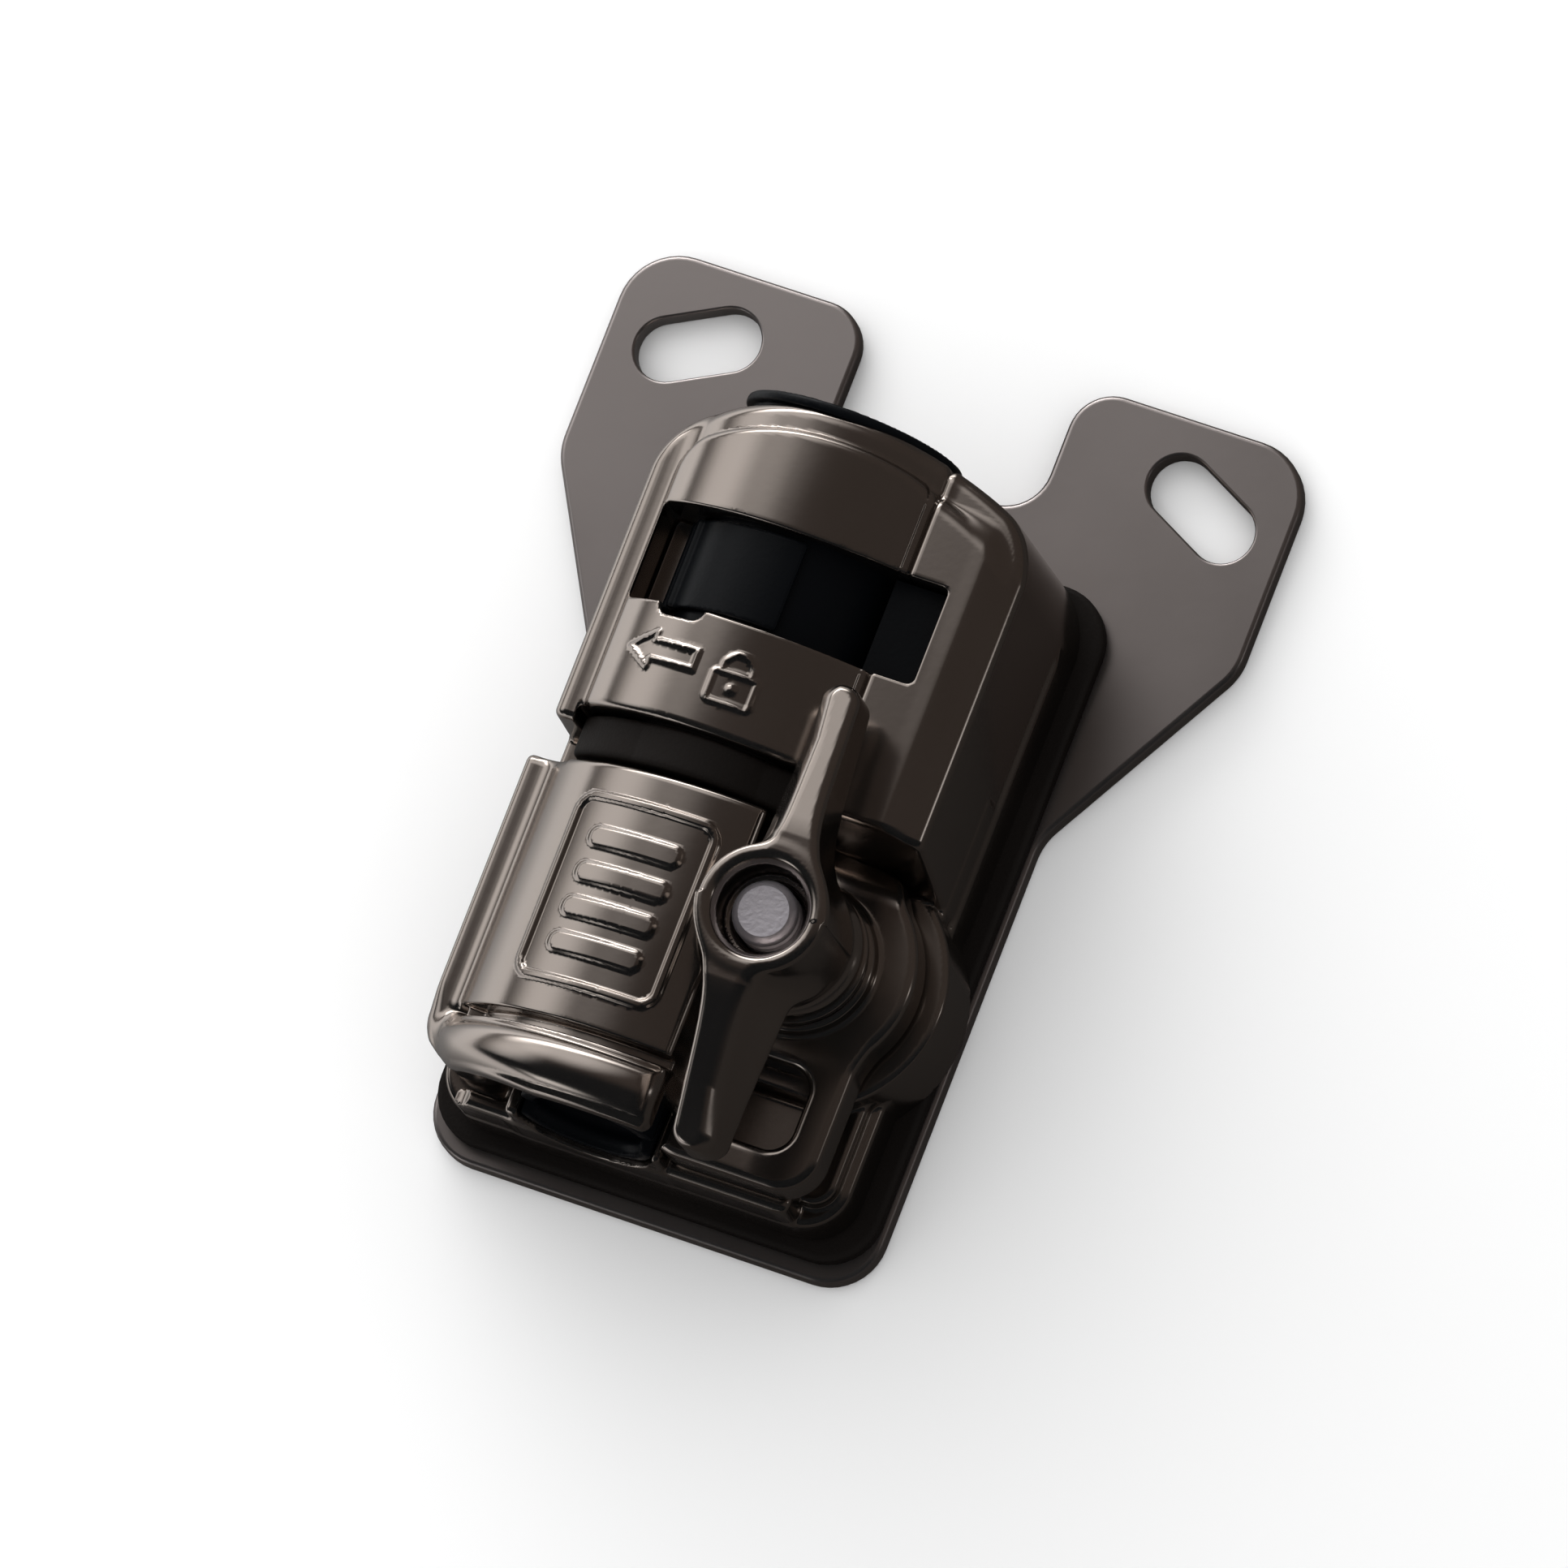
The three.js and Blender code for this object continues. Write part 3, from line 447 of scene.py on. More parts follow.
def arrow_and_padlock(x, y):
    """Raised outline of a left arrow and of a plain padlock, under the window."""
    ax, ay = -17.2, 60.4
    arrow = polygon(x, y, [(ax, ay), (ax + 3.2, ay + 2.3), (ax + 3.2, ay + 1.2), (ax + 9.2, ay + 1.2),
                           (ax + 9.2, ay - 1.2), (ax + 3.2, ay - 1.2), (ax + 3.2, ay - 2.3)])
    px, py = -2.6, 58.6
    case = rectangle(x, y, px - 2.8, px + 2.8, py - 2.2, py + 1.6, 0.6)
    shackle = np.maximum(length(x - px, np.maximum(y - py - 2.2, 0)) - 1.9, py + 1.2 - y)
    keyhole = disc(x, y, px, py - 0.3, 0.5)
    width, soft = 0.5, 0.8
    marks = [stroke(arrow, width, soft), stroke(case, width, soft), ease(0.5 - keyhole / 0.9),
             stroke(shackle, width, soft) * (y > py + 1.6)]
    return np.maximum.reduce(np.broadcast_arrays(*marks))


def cover_arc(x, z, inset=0.0):
    """The cover's section: a tight arc on the left that runs on as a wider one on the right."""
    drop = COVER_WIDE - COVER_R
    wide = disc(x, z, COVER_X, COVER_Z - drop, COVER_WIDE - inset)
    return np.where(x < COVER_X, disc(x, z, COVER_X, COVER_Z, COVER_R - inset), wide)


def housing_field(x, y, z):
    """A block whose face rises to the right, with the cover's arc and a flat pane standing on it."""
    def arch(inset):
        return disc(x, y, ARCH_X, ARCH_TOP - ARCH_RADIUS, ARCH_RADIUS - inset)

    rim_z = LEDGE_Z + (RIM_Z - LEDGE_Z) * ease((x + 20) / 32)
    walls = np.abs(x) - BODY_HALF + (z - 3) * WALL_DRAFT
    rim_face = join(z - rim_z, cover_arc(x, z, 1.4), 1.5)
    rim = meet(meet(arch(0), walls, 5.0), rim_face, 1.7)
    cover = np.maximum(cover_arc(x, z) - MARK_HEIGHT * arrow_and_padlock(x, y), x - COVER_RIGHT)
    pane = np.maximum(z - PANE_Z, COVER_RIGHT - 2 - x)
    face = meet(meet(arch(3.5), COVER_LEFT - x, 3.4), x - PANE_RIGHT, 3.0)
    edge = 1.1 + 1.3 * ease((x - COVER_RIGHT + 3) / 6)
    return join(rim, meet(face, np.minimum(cover, pane), edge), 0.4 + 1.4 * ease((x - 12) / 8))


def body_field(p):
    x, y, z = p
    housing = housing_field(x, y, z)
    # Lower ends: the cover and its ledge stop above the gap, and the right wall is cut back slantwise.
    slant = 45 + 0.2 * np.maximum(z - 15, 0) - y
    low_cover = np.where(x < COVER_LEFT - 0.6, LEDGE_LOW, COVER_LOW) - y
    step = meet(low_cover, x - COVER_RIGHT - 1, 0)
    low_end = np.minimum(step, meet(slant, COVER_RIGHT + 1 - x, 0.4))
    housing = meet(housing, low_end, 0.9)
    # Base behind the jaw.
    above = GASKET_HIGH[2] - z
    foot = rectangle(x, y, -BODY_HALF, BODY_HALF, BODY_FOOT, FOOT_TOP, 6)
    foot = meet(foot, slab(z, GASKET_HIGH[2], FOOT_Z), 0.9)
    bed = meet(rectangle(x, y, BED_LEFT, BED_RIGHT, BODY_FOOT, BED_TOP, 2), z - BED_Z, 0.7)
    side_step = meet(rectangle(x, y, 12, 25.2, 6.6, BED_TOP, 3), z - SIDE_STEP_Z, 0.7)
    channel = block(p, (CHANNEL_LEFT, BODY_FOOT, 5), (CHANNEL_RIGHT, BED_TOP, CHANNEL_Z), 0.8)
    front = block(p, (FRONT_LEFT, BODY_FOOT, 5), (BED_RIGHT, 6.1, FRONT_Z), 0.8)
    ear = meet(disc(x, y, STUD_X, STUD_Y, EAR_R), z - EAR_TOP, 0.8)
    base = join(join(foot, meet(np.minimum(bed, side_step), above, 0), 0.6), channel, 0.5)
    base = join(join(base, front, 0.5), meet(ear, above, 0), 0.5)
    shelf = meet(meet(np.abs(x) - BODY_HALF + 0.6, slab(y, 44, 60), 0.8), z - SHELF_Z, 0.8)
    base = join(base, meet(shelf, above, 0), 0.6)
    knuckle = meet(disc(x, z, PIN_X, PIN_Z, KNUCKLE_R), slab(y, KNUCKLE_LOW, KNUCKLE_HIGH), 0.4)
    web = block(p, (PIN_X - 2.6, KNUCKLE_LOW, 9), (PIN_X + 2.6, KNUCKLE_HIGH, PIN_Z), 0.4)
    base = join(base, np.minimum(knuckle, web), 0.4)
    body = join(housing, base, 0.5)
    # Window with a dip for the thumb, latch bore, bush seat and rod channel.
    opening = np.minimum(rectangle(x, y, *WINDOW, 0.9), rectangle(x, y, -15.6, -9.2, 65.0, 69.0, 1.6))
    body = cut(body, meet(opening, 22 - z, 0.3), 0.35)
    bore = disc(x, z, ROD_X, ROD_Z, BORE_R)
    body = cut(body, meet(bore, slab(y, 51, FAR), 0.2), 0.3)
    seat = block(p, (-22.2, SEAT_LOW, 15.2), (11.5, COVER_LOW, 60), 0.2)
    round_seat = meet(disc(x, z, ROD_X, ROD_Z, SEAT_R), slab(y, SEAT_LOW, COVER_LOW), 0.2)
    body = cut(body, np.minimum(seat, round_seat), 0.3)
    body = cut(body, meet(disc(x, z, ROD_X, ROD_Z, ROD_WAY_R), y - 47, 0), 0.3)
    # Recess under the pull loop, the stud's hole with room for its head, and the detent's and pin's holes.
    recess = block(p, (7, 8.6, 12.4), (BED_RIGHT, 18, 30), 1.0)
    around = length(x - STUD_X, y - STUD_Y)
    shank = meet(around - STUD_HOLE_R, slab(z, 0, 60), 0)
    stud_hole = np.minimum(shank, meet(around - STUD_HEAD_R, 11.5 - z, 0.2))
    hub_room = meet(around - HUB_ROOM_R, EAR_TOP - z, 0)
    body = cut(body, np.minimum(np.minimum(recess, stud_hole), hub_room), 0.3)
    detent = meet(disc(y, z, DETENT_Y, ROD_Z, 2.0), x + 14, 0)
    pin_hole = meet(disc(x, z, PIN_X, PIN_Z, 2.3), y - 46, 0)
    head_room = meet(rectangle(x, y, STUD_X - 7.8, STUD_X + 7.8, STUD_Y - 6.9, STUD_Y + 6.9, 1), z - 8.6, 0)
    return cut(body, np.minimum(np.minimum(detent, pin_hole), head_room), 0.2)


# ---- clamp jaw ----

DOME_X, DOME_Z, DOME_R = -0.9, 10.5, 26.0
DOME_RIGHT, JAW_UNDER, LIP_R, LIP_TOP = 6.5, 22.2, 27.5, 13.1
LIP_MIDDLE, LIP_CROWN, CREASE_DEPTH = 9.0, 10.0, 2.8
BRIM_LEFT, BRIM_Z, BRIM_UNDER, FILLET_FROM = -28.0, 21.7, 13.5, -21.5
JAW_EAR_UNDER, JAW_EAR_FACE, JAW_EAR_R, JAW_HOLE_R = 17.6, 24.0, 14.0, 5.9
JAW_OUTLINE = rounded([(BRIM_LEFT, JAW_TOP, 0.9), (BRIM_LEFT, 10.4, 4.0), (-22.6, 6.6, 6.0), (-8, 4.9, 9.0),
                       (DOME_RIGHT + 0.4, 4.9, 1.2), (DOME_RIGHT + 0.4, JAW_TOP, 0.4)])
JAW_HINGE_R, GAP_LOW, GAP_HIGH = 5.2, 16.0, 38.0
PANEL, BARS, PANEL_HEIGHT = (-16.6, 2.4, 18.8, 42.0), 4, 0.42


def panel_marks(x, y):
    """A raised border round four plain bars, as a grip panel."""
    x0, x1, y0, y1 = PANEL
    border = rectangle(x, y, x0, x1, y0, y1, 2.2)
    marks = [stroke(border, 1.0, 0.55)]
    for i in range(BARS):
        low = y0 + 3.4 + i * (y1 - y0 - 6.8 + 1.6) / BARS
        bar = rectangle(x, y, x0 + 3.2, x1 - 3.2, low, low + 2.6, 1.2)
        marks.append(ease(0.5 - bar / 0.8))
    return np.maximum.reduce(np.broadcast_arrays(*marks))


def jaw_field(p):
    x, y, z = p
    # Dome with its panel and the crease above the lip.
    plan = polygon(x, y, JAW_OUTLINE)
    radial = length(x - DOME_X, z - DOME_Z)
    dome = meet(radial - DOME_R - PANEL_HEIGHT * panel_marks(x, y), meet(plan, x - DOME_RIGHT, 0.5), 0.9)
    crease = meet(slab(y, LIP_TOP - 0.2, LIP_TOP + 1.3), DOME_R - CREASE_DEPTH - radial, 0.3)
    dome = cut(dome, crease, 0.35)
    # Lip, and the brim along the left edge.
    low_plan = meet(plan, y - LIP_TOP, 0)
    roll = radial - LIP_R + (y - LIP_MIDDLE) ** 2 / LIP_CROWN
    lip = join(meet(roll, low_plan, 2.6), meet(low_plan, z - BRIM_Z, 2.6), 2.4)
    hollow = meet(radial - 23.8, meet(y - 10.3, -24.5 - x, 0), 0)
    edge = 1.3 + 1.3 * ease((LIP_TOP + 4 - y) / 6)
    brim = meet(meet(plan, z - BRIM_Z, edge), x - PIN_X, 0)
    fillet = 0.25 + 1.5 * ease((FILLET_FROM - x) / 3)
    dome = join(join(dome, brim, 1.4), lip, fillet)
    # Brim and lip share their top and side, where a fillet would swell: their common outline limits it.
    outline = meet(join(join(radial - DOME_R, z - BRIM_Z, 1.4), roll, fillet), plan, edge)
    dome = cut(np.maximum(dome, np.where(x < FILLET_FROM, outline, -9)), hollow, 0.5)
    dome = meet(dome, np.minimum(JAW_UNDER - z, np.maximum(BRIM_UNDER - z, x - PIN_X - 3)), 0.3)
    # Hinge barrel.
    barrel = meet(disc(x, z, PIN_X, PIN_Z, JAW_HINGE_R), plan, 0.8)
    hinge = meet(barrel, meet(slab(y, 7.6, JAW_TOP - 0.2), z - BRIM_Z + 0.3, 0), 0.6)
    bridge = block(p, (PIN_X, 8, PIN_Z), (-15, JAW_TOP - 0.4, 23.5), 0.3)
    dome = join(dome, join(hinge, bridge, 0), 0.3)
    # Ear round the stud, its pull loop and its ring under the nut.
    around = length(x - STUD_X, y - STUD_Y)
    dome = cut(dome, meet(around - 9.9, JAW_EAR_FACE - z, 1.0), 0.8)
    ear = join(around - JAW_EAR_R, rectangle(x, y, 4, STUD_X + 8, 18, JAW_TOP - 0.6, 2.0), 2.0)
    ear = join(ear, rectangle(x, y, 3, 25, 5.1, 28, 5.0), 1.5)
    ear = cut(ear, rectangle(x, y, 8.0, 20.6, 9.5, 20, 3.0), 0)
    ear = meet(ear, DOME_RIGHT - 0.6 - x, 0)
    ear = meet(ear, slab(z, JAW_EAR_UNDER, JAW_EAR_FACE), 1.1)
    top_slope = (y - 43.4) * 0.5 + (z - JAW_EAR_FACE) * 0.866
    ear = meet(ear, np.where(x > DOME_RIGHT + 1, top_slope, -1), 0.8)
    jaw = join(dome, ear, 0.8)
    ring = meet(around - 9.3, slab(z, JAW_EAR_FACE - 2, 26.0), 0.9)
    jaw = join(jaw, ring, 0.7)
    jaw = cut(jaw, around - JAW_HOLE_R, 0.4)
    jaw = cut(jaw, meet(disc(x, z, ROD_X, ROD_Z, ROD_WAY_R), y - 60, 0), 0.3)
    # Room for the base's knuckle, open below.
    cavity = meet(disc(x, z, PIN_X, PIN_Z, 3.2), slab(y, GAP_LOW, GAP_HIGH), 0)
    under = block(p, (PIN_X - 8, GAP_LOW, -5), (PIN_X + 3.2, GAP_HIGH, PIN_Z - 2), 0)
    under = np.minimum(under, block(p, (PIN_X, GAP_LOW, -5), (PIN_X + 3.2, GAP_HIGH, PIN_Z), 0))
    pin = meet(disc(x, z, PIN_X, PIN_Z, 2.1), 9.6 - y, 0)
    return cut(jaw, np.minimum(np.minimum(cavity, under), pin), 0.2)


# ---- wing nut ----

HUB_LOW, HUB_HIGH, HUB_R = 29.3, 49.5, 8.0
BORE_FLOOR, COUNTERBORE_R, SWELL = 43.5, 5.5, 7.4
WING_REACH, WING_UNDER, WING_FALL, WING_TURN = 29.4, 38.25, 0.2, math.radians(2.8)


def wing_field(p):
    """A hub with two blades: w and u run along and across them, and v and q are the same for both."""
    x, y, z = p
    c, s = math.cos(WING_TURN), math.sin(WING_TURN)
    u = (x - STUD_X) * c + (y - STUD_Y) * s
    w = -(x - STUD_X) * s + (y - STUD_Y) * c
    v, q = np.abs(w), np.where(w < 0, u, -u)
    # Each blade has one upright side and one that slopes out to its foot.
    upright = 3.9 - 0.045 * v + 4.0 * np.exp(-(v / SWELL) ** 2)
    crest = 0.9 + 5.5 * np.exp(-(v / 6) ** 2) + 0.19 * np.maximum(v - 22, 0)
    foot = 6.3 - 0.09 * v
    high = HUB_HIGH - WING_FALL * np.maximum(v - 9.5, 0)
    low = WING_UNDER - 5.2 * np.exp(-(v / SWELL) ** 6)
    down = np.clip((high - z) / (high - WING_UNDER), 0, 1.4)
    sloping = (q - crest - (foot - crest) * down) * 0.94
    plan = meet(meet(sloping, -q - upright, 0), v - WING_REACH, 2.2)
    wing = meet(plan, np.maximum(low - z, (z - high) * 0.98), 1.2 + 1.1 * ease(q / 2))
    around = length(u, v)
    hub = meet(around - HUB_R, slab(z, HUB_LOW, HUB_HIGH), 1.3)
    flange = meet(around - HUB_R - 0.8, slab(z, HUB_LOW, HUB_LOW + 2.4), 0.8)
    nut = meet(join(join(wing, hub, 1.2), flange, 1.2), z - HUB_HIGH + 0.05, 0.4)
    nut = cut(nut, around - STUD_HOLE_R, 0.3)
    cone = around - COUNTERBORE_R - np.maximum(z - HUB_HIGH + 1.6, 0) * 0.55
    return cut(nut, meet(cone, BORE_FLOOR - z, 0.2), 0.7)


# ---- latch, bush, collar and small turned parts ----

SLEEVE_R, ROD_HOLE_R = 12.6, 7.05
TAB_INNER, TAB_FACE, TAB_RIB = 12.75, 13.7, 14.3
TAB_LEFT, TAB_RIGHT, RIB_WIDE, RIB_APART = -74, 14, 5.5, 12
GRIP_R, GRIP_INNER, GROOVE_DEPTH, GROOVE_PITCH = 8.6, 6.75, 0.45, 2.4


def latch_field(p):
    x, y, z = p
    low, high = extent("latch_sleeve")
    r = length(x - ROD_X, z - ROD_Z)
    sleeve = meet(r - SLEEVE_R, slab(y, low[1], high[1]), 0.5)
    return cut(sleeve, r - ROD_HOLE_R, 0.4)


def tab_field(p):
    x, y, z = p
    low, high = extent("latch_thumb_tab")
    dx, dz = x - ROD_X, z - ROD_Z
    r = length(dx, dz)
    angle = np.degrees(np.arctan2(dx, dz))

    def arc(start, end, outer, round_to):
        """A curved bar between two angles in degrees."""
        middle_angle, half = (start + end) / 2, (end - start) / 2
        across = (np.abs(angle - middle_angle) - half) * math.radians(1) * 13.5
        return meet(across, slab(r, TAB_INNER, outer), round_to)

    tab = arc(TAB_LEFT, TAB_RIGHT, TAB_FACE, 0.3)
    for start in (TAB_LEFT, TAB_LEFT + RIB_APART):
        tab = join(tab, arc(start, start + RIB_WIDE, TAB_RIB, 0.5), 0.5)
    return meet(tab, slab(y, low[1], high[1]), 0.35)


def bush_field(p):
    x, y, z = p
    low, high = extent("lower_bush")
    r = length(x - ROD_X, z - ROD_Z)
    cap = meet(meet(cover_arc(x, z, 2.2), slab(x, -21.8, 11.2), 0.8), 15.4 - z, 0.8)
    flange = meet(np.minimum(cap, r - 14.2), slab(y, low[1], low[1] + 5.1), 0.7)
    neck = meet(r - SLEEVE_R, slab(y, low[1] + 2, high[1]), 0.4)
    return cut(join(flange, neck, 0.2), r - ROD_HOLE_R, 0.5)


def collar_field(p):
    x, y, z = p
    low, high = extent("top_collar")
    r = length(x - ROD_X, z - ROD_Z)
    top = high[1] - 1.0
    neck = meet(r - SLEEVE_R, slab(y, low[1], top), 0.4)
    flange = meet(r - 13.8, slab(y, top - 1.3, top), 0.5)
    return cut(join(neck, flange, 0.2), r - ROD_HOLE_R, 0.6)


def grip_field(node, above):
    """Half a ribbed ring round the rod, below or above the split between base and jaw."""
    low, high = extent(node)

    def field(p):
        x, y, z = p
        r = length(x - ROD_X, z - ROD_Z)
        wave = GROOVE_DEPTH * (0.5 + 0.5 * np.cos(2 * math.pi * y / GROOVE_PITCH))
        shell = meet(np.maximum(r - GRIP_R, GRIP_INNER + wave - r), slab(y, low[1], high[1]), 0.25)
        split = low[2] - z if above else z - high[2]
        return meet(shell, split, 0.25)

    return field


def lathe(name, profile, body, mat, replaces, crisp):
    """A turned solid about the stud's axis, from a closed profile of (radius, height) points.

    Edges sharper than the crisp angle, in degrees, stay crisp.
    """
    points, faces = [], []
    around, count = 96, len(profile)
    for k in range(around):
        a = 2 * math.pi * k / around
        for r, h in profile:
            points.append((STUD_X + r * math.cos(a), STUD_Y + r * math.sin(a), h))
    for k in range(around):
        n = (k + 1) % around
        for i in range(count):
            j = (i + 1) % count
            faces.append((k * count + i, n * count + i, n * count + j, k * count + j))
    piece = put(name, points, faces, body, mat, replaces)
    merge(piece)
    piece.data.set_sharp_from_angle(angle=math.radians(crisp))


def merge(piece):
    """Welds doubled points on the axis, drops flat faces and points every face outwards."""
    bm = bmesh.new()
    bm.from_mesh(piece.data)
    bmesh.ops.remove_doubles(bm, verts=bm.verts, dist=1e-6)
    bmesh.ops.dissolve_degenerate(bm, dist=1e-7, edges=bm.edges)
    bmesh.ops.recalc_face_normals(bm, faces=bm.faces)
    bm.to_mesh(piece.data)
    bm.free()
    piece.data.polygons.foreach_set("use_smooth", [True] * len(piece.data.polygons))


def stud_profile():
    """The stud's thread as rounded grooves, with a chamfered end."""
    top = extent("clamp_stud")[1][2]
    pitch, depth, r = 1.25, 0.62, 4.0
    foot, h = 8.0, 17.0
    groove = ((0.1, 0), (0.45, depth), (0.6, depth), (0.95, 0))
    profile = [(0.0, foot), (r, foot), (r, h)]
    while h < top - 2.2:
        profile += [(r - inward, h + part * pitch) for part, inward in groove]
        h += pitch
    return profile + [(r, top - 0.9), (r - 0.25, top - 0.45), (r - 0.9, top), (0.0, top)]


def coil(name, radius, wire, low, high, turns, centre, axis, replaces):
    """A compression spring along Z or X: a round wire on a helix whose end turns lie flat."""
    steps, sides = int(turns * 40), 12
    points, faces = [], []
    for k in range(steps + 1):
        t = k / steps
        a = 2 * math.pi * turns * t
        rise = min(max((t * turns - 0.6) / max(turns - 1.2, 0.1), 0), 1)
        h = low + wire + (high - low - 2 * wire) * rise
        for m in range(sides):
            b = 2 * math.pi * m / sides
            r = radius + wire * math.cos(b)
            u, v, w = r * math.cos(a), r * math.sin(a), h + wire * math.sin(b)
            points.append((u, v, w) if axis == "Z" else (w, u, v))
    for k in range(steps):
        for m in range(sides):
            n = (m + 1) % sides
            faces.append((k * sides + m, (k + 1) * sides + m, (k + 1) * sides + n, k * sides + n))
    faces.append(tuple(range(sides)))
    faces.append(tuple(steps * sides + m for m in reversed(range(sides))))
    merge(put(name, np.array(points) + np.array(centre), faces, "bracket", SPRING, replaces))


# ---- making everything ----

BODY_STEP, JAW_STEP, WING_STEP, SMALL_STEP = 0.38, 0.33, 0.36, 0.4


def make_castings():
    for name, node, field, step, body in (
            ("body_casting", "main_body", body_field, BODY_STEP, "bracket"),
            ("jaw_casting", "clamp_jaw", jaw_field, JAW_STEP, "jaw"),
            ("wing_nut_casting", "wing_nut", wing_field, WING_STEP, "wing")):
        carve(name, field, *extent(node), step, body, NICKEL, "black_nickel", [node])


def make_latch():
    for node, field, body, mat, slot in (
            ("latch_sleeve", latch_field, "latch", NYLON, "nylon"),
            ("latch_thumb_tab", tab_field, "latch", NYLON, "nylon"),
            ("lower_bush", bush_field, "bracket", RUBBER, "rubber"),
            ("top_collar", collar_field, "bracket", NYLON, "nylon"),
            ("body_grip_insert", grip_field("body_grip_insert", False), "bracket", NYLON, "nylon"),
            ("jaw_liner", grip_field("jaw_liner", True), "jaw", NYLON, "nylon")):
        carve(node + "_skin", field, *extent(node), SMALL_STEP, body, mat, slot, [node])


def make_small_parts():
    lathe("stud_thread", stud_profile(), "bracket", ZINC, ["clamp_stud"], 30)
    low, high = extent("clamp_spring")
    coil("jaw_spring", 5.5, 0.65, low[2], high[2], 3.5, (STUD_X, STUD_Y, 0), "Z", ["clamp_spring"])
    low, high = extent("detent_spring")
    centre = (0, *middle("detent_spring")[1:])
    coil("detent_coil", 1.15, 0.25, low[0], high[0], 4, centre, "X", ["detent_spring"])
    low, high = (corner[2] for corner in extent("nut_washer"))
    inner, outer, chamfer = 4.4, 9.0, 0.2
    washer = [(inner, low), (outer - chamfer, low), (outer, low + chamfer),
              (outer, high - chamfer), (outer - chamfer, high), (inner, high)]
    lathe("thrust_washer", washer, "nut_carrier", NICKEL, ["nut_washer"], 50)
    # window_liner is a black insert that fills the pocket beside the window and makes it dark.
    kept = {"nut_wave_washer": SPRING, "jaw_hinge_pin": ZINC, "hinge_washer_lower": NYLON,
            "hinge_washer_upper": NYLON, "window_liner": NYLON, "detent_ball": SPRING, "detent_screw": ZINC}
    kept.update({f"plate_screw_{i}": ZINC for i in (1, 2, 3, 4)})
    for node, mat in kept.items():
        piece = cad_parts[node]
        piece.data.materials.clear()
        piece.data.materials.append(mat)
        bevel = piece.modifiers.new("edge", "BEVEL")
        bevel.width, bevel.segments, bevel.angle_limit = 0.00012, 2, math.radians(40)


# ---- camera, floor and light ----

CAM_RIGHT = Vector((0.9128, 0.3581, -0.1963)).normalized()
CAM_BACK = Vector((0.2728, -0.1773, 0.9454)).normalized()
CAM_TARGET = Vector((-2.9, -1.0, 3.0)) * MM
CAM_LENS, CAM_DISTANCE = 450.0, 2.367
LIGHT_TARGET = Vector((0, 0, 0.02))
FLOOR_HALF, FLOOR_DROP = 4.0, 0.0003
# The floor's colour seen only in reflections on its right part is a painted dark reflection, not the
# paper's own colour.
PAPER, PAINTED_DARK_REFLECTION = (0.9, 0.9, 0.9, 1), (0.05, 0.045, 0.042, 1)
SURROUND, ROOM_FRONT, ROOM_BACK = (0.95, 0.95, 0.95, 1), (0.007, 0.009, 0.011, 1), (0.075, 0.061, 0.053, 1)


def make_camera():
    data = bpy.data.cameras.new("camera")
    data.lens, data.sensor_width = CAM_LENS, 36.0
    data.clip_start, data.clip_end = 0.01, 20
    camera = bpy.data.objects.new("camera", data)
    bpy.context.scene.collection.objects.link(camera)
    up = CAM_BACK.cross(CAM_RIGHT).normalized()
    right = up.cross(CAM_BACK)
    turn = Matrix((right, up, CAM_BACK)).transposed()
    camera.matrix_world = Matrix.Translation(CAM_TARGET + CAM_BACK * CAM_DISTANCE) @ turn.to_4x4()
    bpy.context.scene.camera = camera


def fade_between(nodes, start, end):
    """A node that rises smoothly from 0 to 1 as its value goes from start to end."""
    node = nodes.new("ShaderNodeMapRange")
    node.interpolation_type = "SMOOTHSTEP"
    node.inputs["From Min"].default_value = start
    node.inputs["From Max"].default_value = end
    return node


def soft_box(name, place, size, radiance):
    """A softbox that is brightest at its centre and fades to nothing at its rim."""
    data = bpy.data.lights.new(name, "AREA")
    data.shape, data.size, data.size_y = "RECTANGLE", size[0], size[1]
    data.energy = radiance * math.pi * size[0] * size[1]
    data.use_nodes = True
    nodes, links = data.node_tree.nodes, data.node_tree.links
    spot = nodes.new("ShaderNodeNewGeometry")
    centre, far = nodes.new("ShaderNodeVectorMath"), nodes.new("ShaderNodeVectorMath")
    centre.operation, far.operation = "SUBTRACT", "LENGTH"
    centre.inputs[1].default_value = (0.5, 0.5, 0)
    fade = fade_between(nodes, 0.5, 0.08)
    links.new(spot.outputs["Parametric"], centre.inputs[0])
    links.new(centre.outputs[0], far.inputs[0])
    links.new(far.outputs["Value"], fade.inputs["Value"])
    links.new(fade.outputs["Result"], nodes["Emission"].inputs["Strength"])
    lamp = bpy.data.objects.new(name, data)
    bpy.context.scene.collection.objects.link(lamp)
    lamp.location = place
    lamp.rotation_euler = (Vector(place) - LIGHT_TARGET).to_track_quat("Z", "Y").to_euler()
    lamp.visible_camera = False


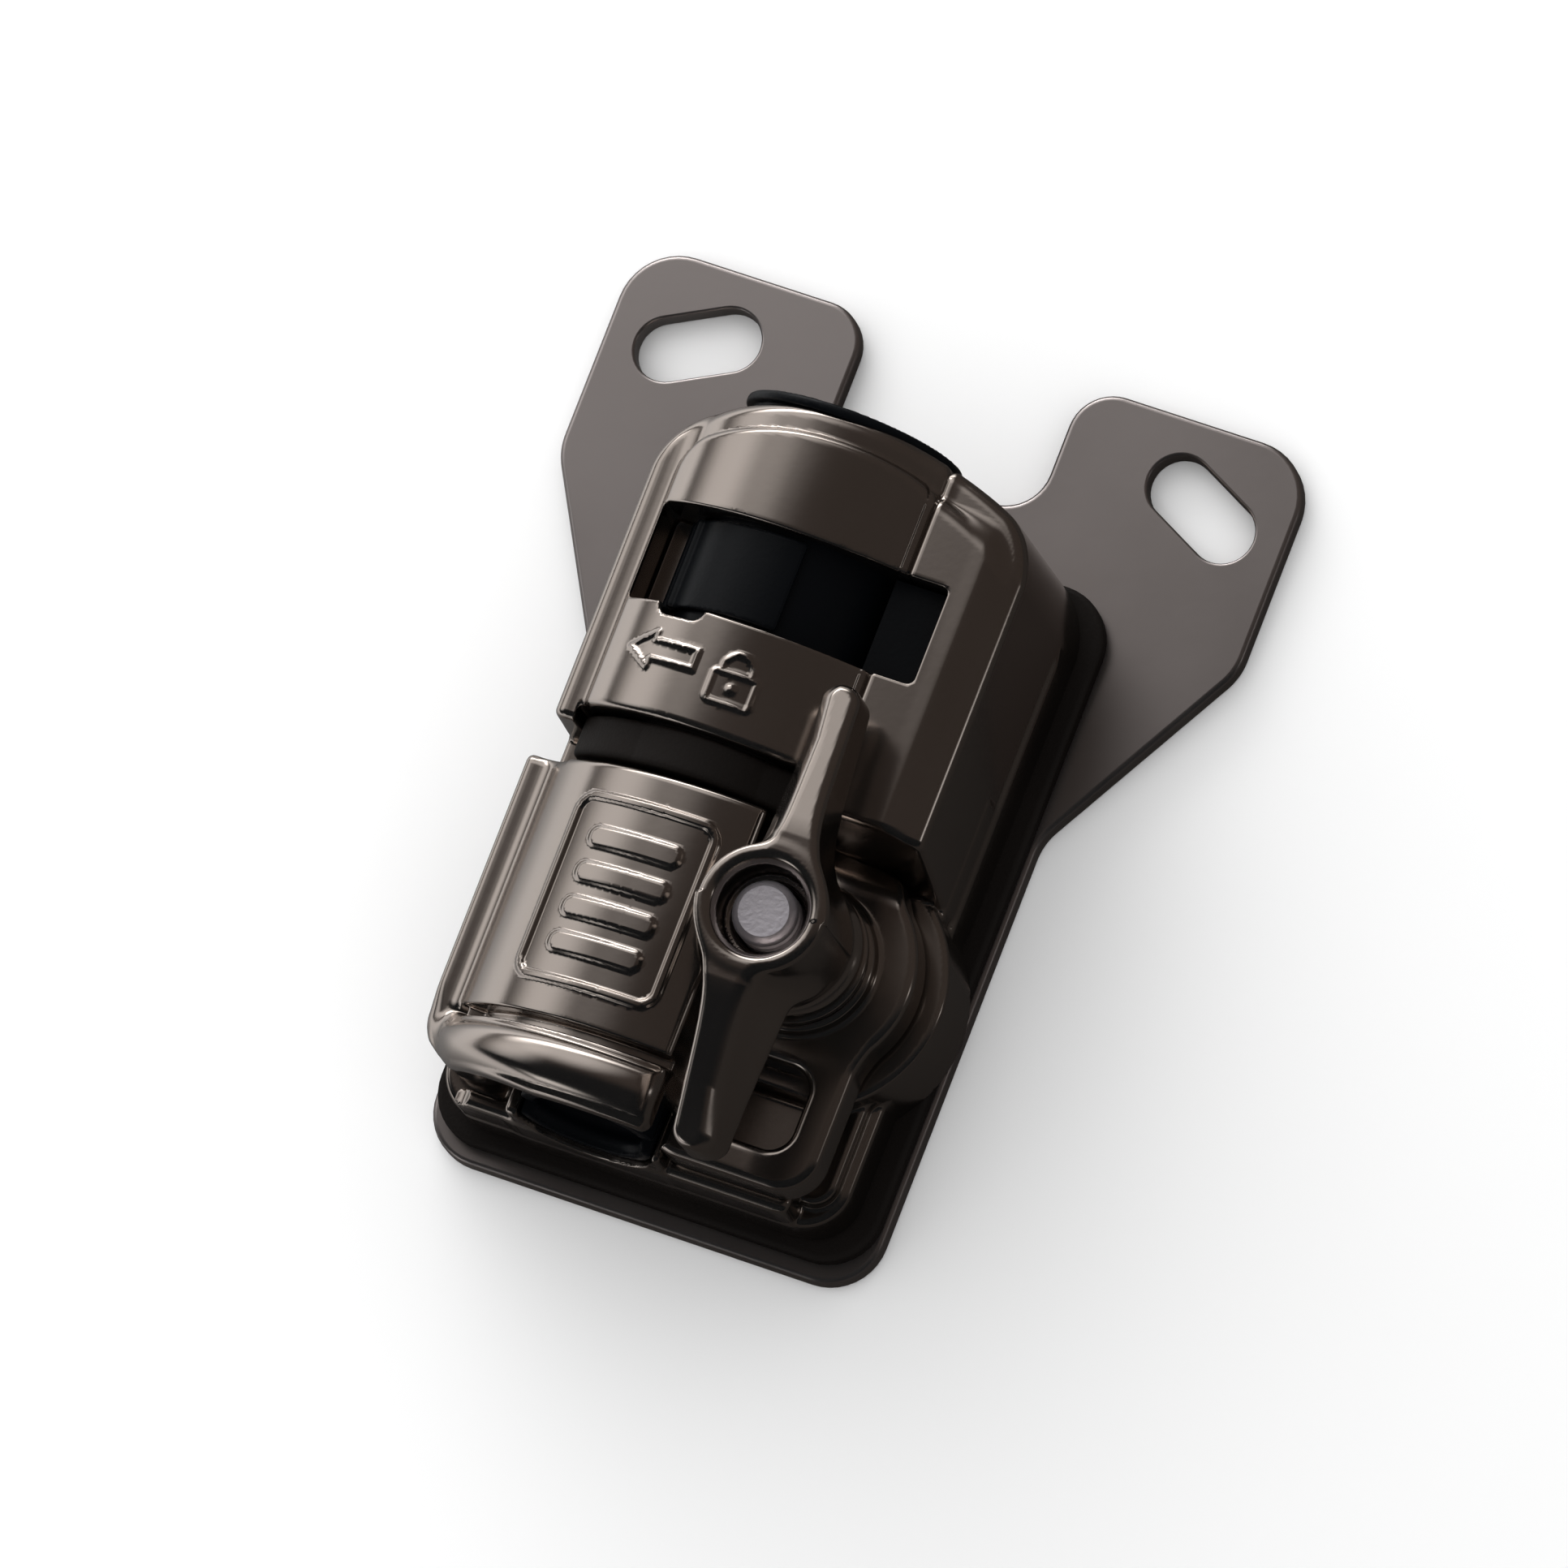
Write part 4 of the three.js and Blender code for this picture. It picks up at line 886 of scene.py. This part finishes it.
def make_floor():
    """A pale floor whose right part shows a painted dark reflection: glossy rays see it dark, as a dark
    part of the room would look.
    """
    mesh = bpy.data.meshes.new("floor")
    corners = [(u * FLOOR_HALF, v * FLOOR_HALF, 0) for u, v in ((-1, -1), (1, -1), (1, 1), (-1, 1))]
    mesh.from_pydata(corners, [], [(0, 1, 2, 3)])
    floor = bpy.data.objects.new("floor", mesh)
    floor.location.z = -FLOOR_DROP
    bpy.context.scene.collection.objects.link(floor)
    mat = bpy.data.materials.new("floor_paper")
    mat.use_nodes = True
    nodes, links = mat.node_tree.nodes, mat.node_tree.links
    shader = nodes["Principled BSDF"]
    shader.inputs["Roughness"].default_value = 0.9
    shader.inputs["Base Color"].default_value = PAPER
    # Painted dark reflection: glossy rays on the floor's right part see this dark colour instead of the
    # pale paper.
    dark = nodes.new("ShaderNodeBsdfDiffuse")
    dark.inputs["Color"].default_value = PAINTED_DARK_REFLECTION
    path, mix = nodes.new("ShaderNodeLightPath"), nodes.new("ShaderNodeMixShader")
    place, split = nodes.new("ShaderNodeTexCoord"), nodes.new("ShaderNodeSeparateXYZ")
    side, both = fade_between(nodes, -0.13, -0.01), nodes.new("ShaderNodeMath")
    both.operation = "MULTIPLY"
    links.new(place.outputs["Object"], split.inputs[0])
    links.new(split.outputs["X"], side.inputs["Value"])
    links.new(side.outputs["Result"], both.inputs[0])
    links.new(path.outputs["Is Glossy Ray"], both.inputs[1])
    links.new(both.outputs[0], mix.inputs[0])
    links.new(shader.outputs[0], mix.inputs[1])
    links.new(dark.outputs[0], mix.inputs[2])
    links.new(mix.outputs[0], nodes["Material Output"].inputs["Surface"])
    mesh.materials.append(mat)


def make_world():
    """A white surround that looks dark in reflections, a little lighter behind the object."""
    world = bpy.data.worlds.new("studio")
    bpy.context.scene.world = world
    world.use_nodes = True
    nodes, links = world.node_tree.nodes, world.node_tree.links
    back = nodes["Background"]
    path, mix = nodes.new("ShaderNodeLightPath"), nodes.new("ShaderNodeMix")
    mix.data_type = "RGBA"
    mix.inputs[6].default_value = SURROUND
    place, split = nodes.new("ShaderNodeTexCoord"), nodes.new("ShaderNodeSeparateXYZ")
    sky, tint = fade_between(nodes, -0.12, 0.25), nodes.new("ShaderNodeMix")
    tint.data_type = "RGBA"
    tint.inputs[6].default_value = ROOM_FRONT
    tint.inputs[7].default_value = ROOM_BACK
    links.new(place.outputs["Generated"], split.inputs[0])
    links.new(split.outputs["Y"], sky.inputs["Value"])
    links.new(sky.outputs["Result"], tint.inputs[0])
    links.new(tint.outputs[2], mix.inputs[7])
    links.new(path.outputs["Is Glossy Ray"], mix.inputs[0])
    links.new(mix.outputs[2], back.inputs["Color"])
    back.inputs["Strength"].default_value = 1.0


def make_lights():
    soft_box("overhead_box", (-0.36, 0.40, 0.55), (0.95, 0.95), 1.1)
    soft_box("left_wall", (-0.52, 0.10, 0.28), (0.75, 0.54), 1.15)
    soft_box("back_left_box", (-0.38, 0.54, 0.22), (0.95, 0.36), 6.5)
    soft_box("low_front", (-0.28, -0.5, 0.14), (0.4, 0.2), 1.6)
    soft_box("right_strip", (0.6, 0.1, 0.10), (0.1, 0.2), 1.6)


make_camera()
make_floor()
make_world()
make_lights()
make_plate()
make_castings()
make_latch()
make_small_parts()
bpy.context.scene.view_settings.view_transform = "Standard"
